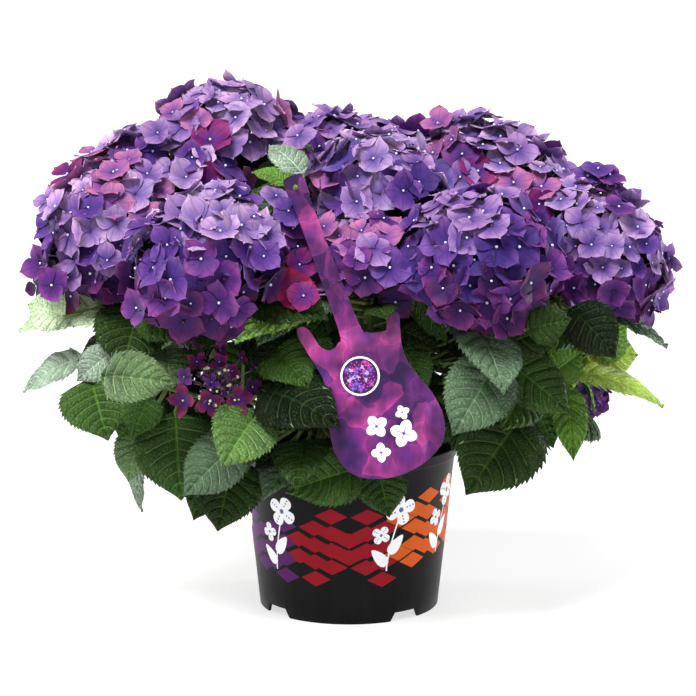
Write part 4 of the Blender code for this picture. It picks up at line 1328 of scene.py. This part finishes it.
# The tones of paired leaves, small and large, with their weights.
SMALL_TONES, LARGE_TONES = "night 4 dark 4 deep 2 mid 1", "mid 4 deep 3 dark 4 blue 2 bright 1"
INNER_REACH = 0.205  # the younger leaves' tips stay within this distance of the pot's axis
# How far along the leafy stem the pairs of younger leaves stand.
INNER_SHARES = (0.14, 0.33, 0.52, 0.71, 0.88, 0.97, 0.02, 0.42, 0.62, 0.24, 0.80, 0.08, 0.47, 0.57)

# Smaller leaves that fill the view between the grown ones.
SMALL_LEAVES = leads_of("""
    sprig_left -243 -82 291 -282 -86 258 36 front frost
    sprig_left -185 -80 238 -230 -68 201 52 front dark
    sprig_left -206 -110 248 -222 -134 209 40 front mid
    sprig_right 208 -70 302 227 -70 272 44 front dark
    label -67 -90 410 -103 -102 444 44 front blue
    label -67 -80 433 -102 -68 457 44 front mid
    sprig_front -134 -112 176 -160 -142 124 44 front dark
    sprig_left -162 -90 238 -148 -102 210 50 front dark
    sprig_left -218 -100 227 -238 -112 204 44 front mid
    sprig_right 256 -60 285 290 -72 315 44 front bright
    far_left -296 -70 325 -335 -70 338 44 front lit
    sprig_right 214 -90 270 241 -102 293 44 front bright
""")


def more_leaves(crown, curves, leaves):
    """Younger and inner leaves between the grown ones, by the same rule and in the same space."""
    settle_leads(crown, curves, leaves, SMALL_LEAVES)
    for rank, share in enumerate(INNER_SHARES):
        for number, shoot in enumerate(s for s in SHOOTS if s.name != "label"):
            chance = random.Random(7000 + 100 * rank + number)
            for side_sign in (1, -1):
                ends = curves[shoot.name][1]
                leaf = pair_leaf(ends, leafy_share(share), rank + number + 1, side_sign, chance)
                size = chance.uniform(0.45, 0.85)
                tip = leaf.base + (leaf.tip - leaf.base) * size
                if math.hypot(tip.x, tip.y) <= INNER_REACH:
                    settle(crown, leaves, shoot.name, leaf._replace(tip=tip, width=leaf.width * size), False)


STEM_RADIUS = 0.0034  # at the foot of the leafy stem
STEM_TAPER = 0.0010  # how much thinner it is at its end
NODE_SWELL = 0.0007  # how much thicker where a pair of leaves stands


def rounded(spot):
    return tuple(round(c, 4) for c in spot)


def build_leaves(looks, leaves, curves, stalks):
    names = ["leaf_" + n for n in LEAVES] + ["vein_" + n for n in LEAVES] + ["leaf_under"]
    tones = {rounded(lead.base): lead.tone for lead in LEAD_LEAVES + SMALL_LEAVES}
    for number, shoot in enumerate(SHOOTS):
        joined = Joined(looks, *names)
        for k, leaf in enumerate(leaves[shoot.name]):
            chance = random.Random(3000 + 50 * number + k)
            tone = tones.get(rounded(leaf.base)) or PAIR_TONES.get((shoot.name, k))
            words = SMALL_TONES if leaf.width < 0.052 else LARGE_TONES
            add_leaf(joined, stalks, leaf, tone or pick(chance, words), bool(tone), chance)
        points = stretch(curves[shoot.name][1], CANE_SHARE, LEAFY_END if shoot.radius else 1.0, 24)
        radii = [STEM_RADIUS - STEM_TAPER * k / 24 + (NODE_SWELL if k % 5 == 2 else 0.0) for k in range(25)]
        if shoot.name == "label":
            points.append(LABEL_HOLE + label_axes()[2] * 0.006)
            radii[-2:] = [TIP_RADIUS] * 3
        stalks.solid(tube(points, radii, 10), "green_bark")
        joined.build("foliage_" + shoot.name, "green_leaf", "leaves_" + shoot.name)


# ---------------------------------------------------------------- wood and soil


def bark_tube(points, radii, sides, relief, seed):
    """A limb with ribs and knots on its bark."""
    points = [Vector(p) for p in points]
    rings, faces = tube(points, radii, sides)
    made = []
    for k, spot in enumerate(rings):
        centre = points[k // sides]
        out = spot - centre
        grain = noise.noise(Vector((out.x * 900, out.y * 900, spot.z * 90 + seed)))
        knot = noise.noise(Vector((spot.x * 160, spot.y * 160, spot.z * 160 + seed)))
        made.append(centre + out * (1 + relief * (grain + 0.6 * knot)))
    return made, faces


def build_wood(looks, curves):
    joined = Joined(looks, "bark", "green_bark")
    foot = SOIL_TOP + CLEARANCE
    steps = 26
    heights = [foot + STOCK_HEIGHT * k / steps for k in range(steps + 1)]
    shares = [k / steps for k in range(steps + 1)]
    profile = (0, 0.12, 0.30, 0.82, 0.95, 1.0), (0.0226, 0.0188, 0.0152, 0.0150, 0.0118, 0.0080)
    radii = np.interp(shares, *profile)
    joined.solid(bark_tube([(0, 0, h) for h in heights], list(radii), 40, 0.05, 3.0), "bark")
    joined.build("stock_wood", "young_bark", "stock")
    joined = Joined(looks, "bark", "green_bark")
    for number, shoot in enumerate(SHOOTS):
        heel, ends = curves[shoot.name]
        points = [heel, *stretch(ends, 0.0, CANE_SHARE, 18)]
        radii = [0.0041, *[0.0038 - 0.0003 * k / 18 + (0.0006 if k % 6 == 4 else 0.0) for k in range(19)]]
        joined.solid(bark_tube(points, radii, 14, 0.07, number * 7.0), "bark" if number % 3 else "green_bark")
    joined.build("cane_wood", "young_bark", *("cane_" + s.name for s in SHOOTS))


CRUMBS = 1500
BED_WAVES, BED_GRAIN = 0.0022, 0.0012  # the height of the bed's broad and fine relief


def build_soil(looks):
    """A rough bed with a side that goes down along the wall, and crumbs strewn over it."""
    joined = Joined(looks, "soil", "crumb")
    radius = wall_radius(SOIL_TOP) - POT_WALL - CLEARANCE
    rings, sides = 34, 90
    turns = [2 * math.pi * k / sides for k in range(sides)]
    points = []
    for i in range(rings + 1):
        for turn in turns:
            spot = level_spot(turn, radius * i / rings, SOIL_TOP - 0.0010)
            spot.z += BED_WAVES * noise.noise(spot * 60) + BED_GRAIN * noise.noise(spot * 300)
            points.append(spot)
    points += [level_spot(turn, radius * 0.98, SOIL_TOP - 0.03) for turn in turns]
    joined.solid((points, bands(rings + 1, sides, flip=True)), "soil")
    chance = random.Random(77)
    for _ in range(CRUMBS):
        turn, out = chance.uniform(0, 2 * math.pi), (radius - 0.003) * math.sqrt(chance.random())
        size = 0.0006 + 0.0020 * chance.random() ** 2.5
        if out < STOCK_FLARE + size:
            continue
        scale = np.array([size * chance.uniform(0.6, 1.5) for _ in range(3)])
        spot = np.array((out * math.cos(turn), out * math.sin(turn), SOIL_TOP - 0.0008 + size * 0.2))
        crumb = (BEAD_POINTS * scale) @ axes_of(random_way(chance, 1).normalized(), 0).T
        joined.add(crumb + spot, BEAD_FACES, "crumb" if chance.random() < 0.5 else "soil")
    joined.build("potting_soil", "potting_soil", "root_ball")


# ---------------------------------------------------------------- pot


def wall_radius(height):
    """The pot's outer radius at this height."""
    return POT_FOOT_RADIUS + (POT_RIM_RADIUS - POT_FOOT_RADIUS) * height / POT_HEIGHT


def pot_angles():
    """Azimuths round the pot, with extra ones at the notches' corners."""
    angles = {round(2 * math.pi * k / 144, 6) for k in range(144)}
    for number in range(NOTCH_COUNT):
        middle = (NOTCH_FIRST + 2 * math.pi * number / NOTCH_COUNT) % (2 * math.pi)
        for width in (NOTCH_WIDTH, NOTCH_TOP_WIDTH):
            for sign in (-1, 1):
                for nudge in (-0.004, 0.004):
                    angle = middle + sign * width / 2 / POT_FOOT_RADIUS + nudge
                    angles.add(round(angle % (2 * math.pi), 6))
    return sorted(angles)


def foot_height(angle):
    """How high the pot's lower edge stands here: the ground, or the top of a notch."""
    step = 2 * math.pi / NOTCH_COUNT
    off = abs((angle - NOTCH_FIRST + step / 2) % step - step / 2) * POT_FOOT_RADIUS
    low, high = NOTCH_WIDTH / 2, NOTCH_TOP_WIDTH / 2
    return NOTCH_HEIGHT * min(1.0, max(0.0, (low - off) / (low - high)))


def pot_profile(angle):
    """(radius, height) of the pot's skin here: under its floor, up outside, over the rim and down inside."""
    foot, collar, floor_top = foot_height(angle), POT_HEIGHT - POT_COLLAR, POT_FLOOR + POT_WALL
    seam = 0.00025 * math.exp(-((((angle - 0.35) % math.pi) - 0.05) / 0.006) ** 2)
    thick = POT_WALL * 1.4
    low, waist, rim = wall_radius(foot), wall_radius(collar), wall_radius(POT_HEIGHT) + POT_LIP
    rows = [
        (0.0005, POT_FLOOR),
        (0.03, POT_FLOOR + 0.0004),
        (0.06, POT_FLOOR),
        (wall_radius(POT_FLOOR) - thick - 0.0008, POT_FLOOR),
        (wall_radius(POT_FLOOR - 0.0008) - thick, POT_FLOOR - 0.0008),
        (low - thick, foot + 0.0006),
        (low - thick + 0.0005, foot),
        (low - 0.0005, foot),
        (low, foot + 0.0006),
    ]
    for k in range(1, 9):
        height = foot + (collar - foot) * k / 9
        rows.append((wall_radius(height) + seam, height))
    return rows + [
        (waist + 0.0002, collar - 0.0012),
        (waist + 0.0010, collar - 0.0004),
        (waist + POT_LIP - 0.0006, collar + 0.0008),
        (waist + POT_LIP, collar + 0.0018),
        (rim, POT_HEIGHT - 0.0010),
        (rim - 0.0007, POT_HEIGHT),
        (rim - POT_WALL + 0.0006, POT_HEIGHT),
        (rim - POT_WALL, POT_HEIGHT - 0.0010),
        (waist - POT_WALL, collar),
        (wall_radius(0.12) - POT_WALL, 0.12),
        (wall_radius(floor_top) - POT_WALL, floor_top),
        (0.04, floor_top),
        (0.0005, floor_top),
    ]


def build_pot(looks):
    grid = [[(r * math.cos(a), r * math.sin(a), z) for r, z in pot_profile(a)] for a in pot_angles()]
    grid.append(grid[0])
    joined = Joined(looks, "plastic")
    joined.add(grid, grid_faces(len(grid), len(grid[0]))[:, ::-1], "plastic")
    pot = joined.build("pot_body", "black_plastic", "pot")
    pot.data.set_sharp_from_angle(angle=math.radians(42))


def on_pot(angle, height, lift):
    """The point on the pot's wall at this azimuth from the front, positive to the right, and height."""
    radius = wall_radius(height) + lift
    return (radius * math.sin(angle), -radius * math.cos(angle), height)


PRINT_TURN = 1 / 0.105  # radians round the pot for each metre of a print
PRINT_LIFT = 0.00022  # how far the white sprigs stand off the wall, over the lozenges
LOZENGE_LIFT = 0.00014
DOT_LIFT = 0.00032
LOZENGE_COLUMNS = 36
LOZENGE_HEIGHT = 0.0186
ZONE_HEIGHTS = (0.083, 0.078, 0.100)  # the middle of the frieze in its three colours
SPRIG_DEGREES = (28, 68, 122, 168, 205, 245, 281, 318)  # from the front to the right


def egg(centre, long, wide, count, turn=0.0, shift=0.0, taper=0.0, power=1, widen=1.0):
    """A closed outline: an oval moved on along its own length, tapering towards one end, then turned.

    widen stretches the first of its two measures, for outlines in azimuth and height.
    """
    spots = []
    for t in (2 * math.pi * k / count for k in range(count)):
        x, y = shift + long * math.cos(t), wide * math.sin(t) * (1 + taper * math.cos(t) ** power)
        first = (x * math.cos(turn) - y * math.sin(turn)) * widen
        spots.append((centre[0] + first, centre[1] + x * math.sin(turn) + y * math.cos(turn)))
    return spots


def middle_of(outline):
    return tuple(sum(p[k] for p in outline) / len(outline) for k in (0, 1))


def fan(count):
    """Triangles from point 0 to the closed ring of points after it."""
    return [(0, 1 + k, 1 + (k + 1) % count) for k in range(count)]


def decal(joined, outline, name, lift=PRINT_LIFT):
    """A flat printed shape that follows the wall, from its outline as (azimuth, height) points."""
    middle = middle_of(outline)
    if len(outline) < 8:
        sides = list(zip(outline, outline[1:] + outline[:1]))
        outline = [tuple(p + (q - p) * t / 4 for p, q in zip(a, b)) for a, b in sides for t in range(4)]
    points = [on_pot(*middle, lift)]
    for share in (0.34, 0.67, 1.0):
        points += [on_pot(*(m + (p - m) * share for m, p in zip(middle, spot)), lift) for spot in outline]
    count = len(outline)
    joined.add(points, fan(count) + triangles(bands(2, count, 1, flip=True)), name)


def build_pot_print(looks):
    """A printed frieze: lozenges that change colour round the pot, with white sprigs of blossom over them."""
    inks = ("print_purple", "print_red", "print_orange")
    joined = Joined(looks, *inks, "print_white", "print_blue")
    tall = LOZENGE_HEIGHT
    right, up = 2 * math.pi / LOZENGE_COLUMNS * 0.93, tall * 0.465
    for k in range(LOZENGE_COLUMNS):
        angle = 2 * math.pi * k / LOZENGE_COLUMNS
        zone = (math.degrees(angle) + 95) % 360 / 60
        ink = int(zone) % 3
        centre = ZONE_HEIGHTS[ink] + 0.006 * math.sin(zone * 5)
        for row in range(4):
            height = centre + tall * (row - 1.5) + (tall / 2 if k % 2 else 0.0)
            if (k * 5 + row * 7) % 11 and (row < 3 or k % 3):
                sides = [(angle + right, height), (angle, height - up), (angle - right, height)]
                decal(joined, [(angle, height + up), *sides], inks[ink], LOZENGE_LIFT)
    for k, degrees in enumerate(SPRIG_DEGREES):
        sprig(joined, math.radians(degrees), 0.058 + 0.012 * math.sin(k * 2.3), k)
    joined.build("pot_print", "black_plastic")


def sprig(joined, angle, height, number):
    """A white stem with two leaves and two blossoms."""
    path = [(angle - 0.10 + 0.13 * (j / 10) ** 1.6, height + 0.062 * j / 10) for j in range(11)]
    loop = [(a - 0.008, h) for a, h in path] + [(a + 0.008, h) for a, h in reversed(path)]
    faces = [face for k in range(10) for face in ((k, k + 1, 21 - k), (k + 1, 20 - k, 21 - k))]
    joined.add([on_pot(a, h, PRINT_LIFT) for a, h in loop], faces, "print_white")
    blossom(joined, path[-1][0], path[-1][1] + 0.004, 0.0175, 0.3 + number)
    blossom(joined, angle - 0.17, height + 0.040, 0.0105, 1.0 + number)
    for turn, start in ((0.9, 3), (math.pi - 0.8, 1)):
        shape = egg(path[start], 0.0125, 0.0060, 14, turn, 0.0125, -0.5 / 1.2, widen=PRINT_TURN)
        decal(joined, shape, "print_white")


def blossom(joined, angle, height, radius, spin):
    """A printed four-petalled blossom with a dotted middle."""
    centre, size = (angle, height), radius * 0.055
    for turn in (spin + petal * math.pi / 2 for petal in range(4)):
        shape = egg(centre, radius * 0.46, radius * 0.40, 16, turn, radius * 0.52, 0.25, widen=PRINT_TURN)
        decal(joined, shape, "print_white")
        for x in (radius * (0.42 + 0.2 * j) for j in range(3)):
            spot = (angle + x * math.cos(turn) * PRINT_TURN, height + x * math.sin(turn))
            decal(joined, egg(spot, size, size, 8, widen=PRINT_TURN), "print_blue", DOT_LIFT)
    ring = egg(centre, radius * 0.15, radius * 0.16, 12, widen=PRINT_TURN)
    decal(joined, ring, "print_blue", DOT_LIFT + 0.00002)


# ---------------------------------------------------------------- label


def smooth_outline():
    """The label's whole outline, eased between its corners: (down, across)."""
    loop = label_loop()[1:]
    count, made = len(loop), []
    for k in range(count):
        p0, p1, p2, p3 = (np.array(loop[(k + j) % count]) for j in (-1, 0, 1, 2))
        square, cube = 2 * p0 - 5 * p1 + 4 * p2 - p3, 3 * p1 - p0 - 3 * p2 + p3
        for t in (0.0, 0.25, 0.5, 0.75):
            made.append(tuple((2 * p1 + (p2 - p0) * t + square * t**2 + cube * t**3) / 2))
    return made


def on_label(down, across, lift):
    """The point so far down the label from its top edge, across it and off its middle plane."""
    along, beside, out = label_axes()
    return LABEL_HOLE + along * (down - LABEL_HOLE_INSET) + beside * across + out * lift


def build_label(looks):
    """The plate with its punched hole, printed in front, pale at its back and edge."""
    hole = egg((LABEL_HOLE_INSET, 0.0), LABEL_HOLE_RADIUS, LABEL_HOLE_RADIUS, 28)
    loops = smooth_outline(), hole
    spots = [Vector((down, across, 0)) for loop in loops for down, across in loop]
    sides = LABEL_THICKNESS / 2, -LABEL_THICKNESS / 2
    points = [on_label(down, across, lift) for lift in sides for down, across, _ in spots]
    count, front, rim = len(spots), [], []
    for a, b, c in tessellate_polygon([[Vector((*spot, 0)) for spot in loop] for loop in loops]):
        outwards = (spots[b] - spots[a]).cross(spots[c] - spots[a]).z > 0
        front.append((a, b, c) if outwards else (a, c, b))
    for start, loop in ((0, loops[0]), (len(loops[0]), loops[1])):
        for k in range(len(loop)):
            near, far = start + k, start + (k + 1) % len(loop)
            rim.append((near, far, far + count, near + count))
    back = [(a + count, c + count, b + count) for a, b, c in front]
    mesh = bpy.data.meshes.new("label_plate")
    mesh.from_pydata(points, [], front + back + rim)
    mesh.polygons.foreach_set("material_index", [0] * len(front) + [1] * len(back + rim))
    shown(mesh, [looks["card"], looks["card_edge"]], ["plant_label"])
    build_label_print(looks)


def card_shape(joined, outline, name, lift):
    """A flat printed shape in front of the label: its outline as (down, across) points."""
    spots = [middle_of(outline), *outline]
    joined.add([on_label(d, v, LABEL_THICKNESS / 2 + lift) for d, v in spots], fan(len(outline)), name)


def card_petal(centre, reach, turn, wide):
    """One printed petal's outline, pointed at its tip."""
    return egg(centre, reach * 0.48, reach * wide, 16, turn, reach * 0.52, -0.30, 3)


def card_flower(joined, centre, reach, turn, ink, lift, heart, wide=0.36):
    for k in range(4):
        petal = card_petal(centre, reach, turn + k * math.pi / 2, wide)
        card_shape(joined, petal, ink, lift + 0.00002 * (k % 2))
    card_shape(joined, egg(centre, reach * 0.13, reach * 0.13, 10), heart, lift + 0.00006)


INSET_MIDDLE, INSET_RADIUS = (0.2113, -0.0067), 0.0197  # the round inset: down and across the label
INSET_FLORETS = 60
# White blossoms under it: how far down, how far across, reach and turn.
LABEL_BLOSSOMS = (
    (0.2640, -0.0090, 0.0120, 0.3),
    (0.2800, 0.0140, 0.0140, 0.9),
    (0.2900, -0.0140, 0.0100, 1.3),
    (0.2600, 0.0200, 0.0075, 0.1),
)


def build_label_print(looks):
    """A round inset with a head of small florets, and a spray of white blossoms under it."""
    inks = ("print_lilac", "print_violet", "print_magenta", "print_purple")
    joined = Joined(looks, "print_white", "print_night", *inks)
    chance = random.Random(5)
    middle, radius = INSET_MIDDLE, INSET_RADIUS
    card_shape(joined, egg(middle, radius, radius, 48), "print_white", 0.00008)
    card_shape(joined, egg(middle, radius * 0.90, radius * 0.90, 48), "print_night", 0.00014)
    for k in range(INSET_FLORETS):
        out, around = radius * 0.78 * math.sqrt((k + 0.5) / INSET_FLORETS), k * GOLDEN
        spot = (middle[0] + out * math.cos(around), middle[1] + out * math.sin(around))
        ink = chance.choices(inks, (1, 3, 1, 7))[0]
        reach, turn = chance.uniform(0.0026, 0.0036), chance.uniform(0, 1.6)
        card_flower(joined, spot, reach, turn, ink, 0.00018 + 0.000004 * k, "print_lilac")
    for down, across, reach, turn in LABEL_BLOSSOMS:
        card_flower(joined, (down, across), reach, turn, "print_white", 0.00010, "print_violet", 0.42)
        for k in range(4):
            streak = card_petal((down, across), reach * 0.60, turn + k * math.pi / 2, 0.10)
            card_shape(joined, streak, "print_lilac", 0.00013)
    joined.build("label_print", "printed_card")


# ---------------------------------------------------------------- stage


CAMERA_TARGET = Vector((0, 0, 0.2793))
CAMERA_DISTANCE = 2.6
CAMERA_PITCH = math.radians(9.8)
CAMERA_SHIFT = Vector((0.0011, 0, 0))  # to the left
FOCAL_LENGTH = 36 * 2421 / 696  # in millimetres, for a sensor 36 mm wide
# Broad suns: name, the way they shine, strength and angle in degrees.
SUNS = (
    ("key", (0.40, 0.62, -1.25), 5.2, 28.0),
    ("front", (-0.25, 0.95, -0.45), 0.80, 50.0),
    ("back", (0.1, -0.8, -1.0), 0.45, 60.0),
)
# Upright strips of light at both sides: name, place and power.
STRIPS = (("strip_right", (1.1, 0.35, 0.35), 9.0), ("strip_left", (-1.1, 0.35, 0.35), 7.0))
STRIP_TARGET = Vector((0, 0, 0.2))
FLOOR_GLOW = 0.66  # the floor's own light, which lifts the shadow on it


def build_stage():
    """A pale floor, soft light from above and in front, a strip lamp at each side, a white backdrop."""
    scene = bpy.context.scene
    scene.view_settings.view_transform = "Standard"
    world = bpy.data.worlds.new("studio")
    world.use_nodes = True
    scene.world = world
    nodes, links = world.node_tree.nodes, world.node_tree.links
    back = nodes["Background"]
    back.inputs["Color"].default_value = (0.96, 0.98, 1.0, 1.0)
    path = nodes.new("ShaderNodeLightPath")
    level = nodes.new("ShaderNodeMapRange")
    level.inputs["To Min"].default_value = 0.10
    level.inputs["To Max"].default_value = 1.05
    links.new(path.outputs["Is Camera Ray"], level.inputs["Value"])
    links.new(level.outputs["Result"], back.inputs["Strength"])
    mesh = bpy.data.meshes.new("floor")
    mesh.from_pydata([(-30, -30, 0), (30, -30, 0), (30, 30, 0), (-30, 30, 0)], [], [(0, 1, 2, 3)])
    look = Look("floor", Roughness=0.8, Emission_Color=(1, 1, 1, 1), Emission_Strength=FLOOR_GLOW)
    look.colour(look.ramp(look.noise(3.0), (0.0, 0.43), (1.0, 0.46)))
    mesh.materials.append(look.material)
    placed("floor", mesh)
    for name, way, strength, spread in SUNS:
        lamp = bpy.data.lights.new(name, "SUN")
        lamp.energy, lamp.angle = strength, math.radians(spread)
        placed(name, lamp, way=way)
    for name, spot, power in STRIPS:
        lamp = bpy.data.lights.new(name, "AREA")
        lamp.energy, lamp.shape, lamp.size, lamp.size_y = power, "RECTANGLE", 0.25, 0.9
        placed(name, lamp, spot, STRIP_TARGET - Vector(spot))


def build_camera():
    """A long lens, slightly above the plant, as the photograph has it."""
    back = Vector((0, -math.cos(CAMERA_PITCH), math.sin(CAMERA_PITCH)))
    lens = bpy.data.cameras.new("camera")
    lens.sensor_width, lens.lens = 36.0, FOCAL_LENGTH
    spot = CAMERA_TARGET + back * CAMERA_DISTANCE - CAMERA_SHIFT
    bpy.context.scene.camera = placed("camera", lens, spot, -back)


def main():
    build_camera()
    build_stage()
    looks = make_looks()
    crown, curves, leaves = grow()
    more_leaves(crown, curves, leaves)
    stalks = Joined(looks, "stalk", "pedicel", "green_bark")
    build_leaves(looks, leaves, curves, stalks)
    kinds, slim_kinds = floret_kinds(16, 40), floret_kinds(8, 90, 0.70)
    greens = Crown()
    greens.items = [item for item in crown.items if item[1] != "head"]
    build_heads(looks, greens, curves, kinds, slim_kinds, stalks)
    build_strays(looks, greens, curves, kinds, slim_kinds, stalks)
    stalks.build("stalks", "green_leaf", *("leaves_" + s.name for s in SHOOTS))
    build_wood(looks, curves)
    build_soil(looks)
    build_pot(looks)
    build_pot_print(looks)
    build_label(looks)


main()
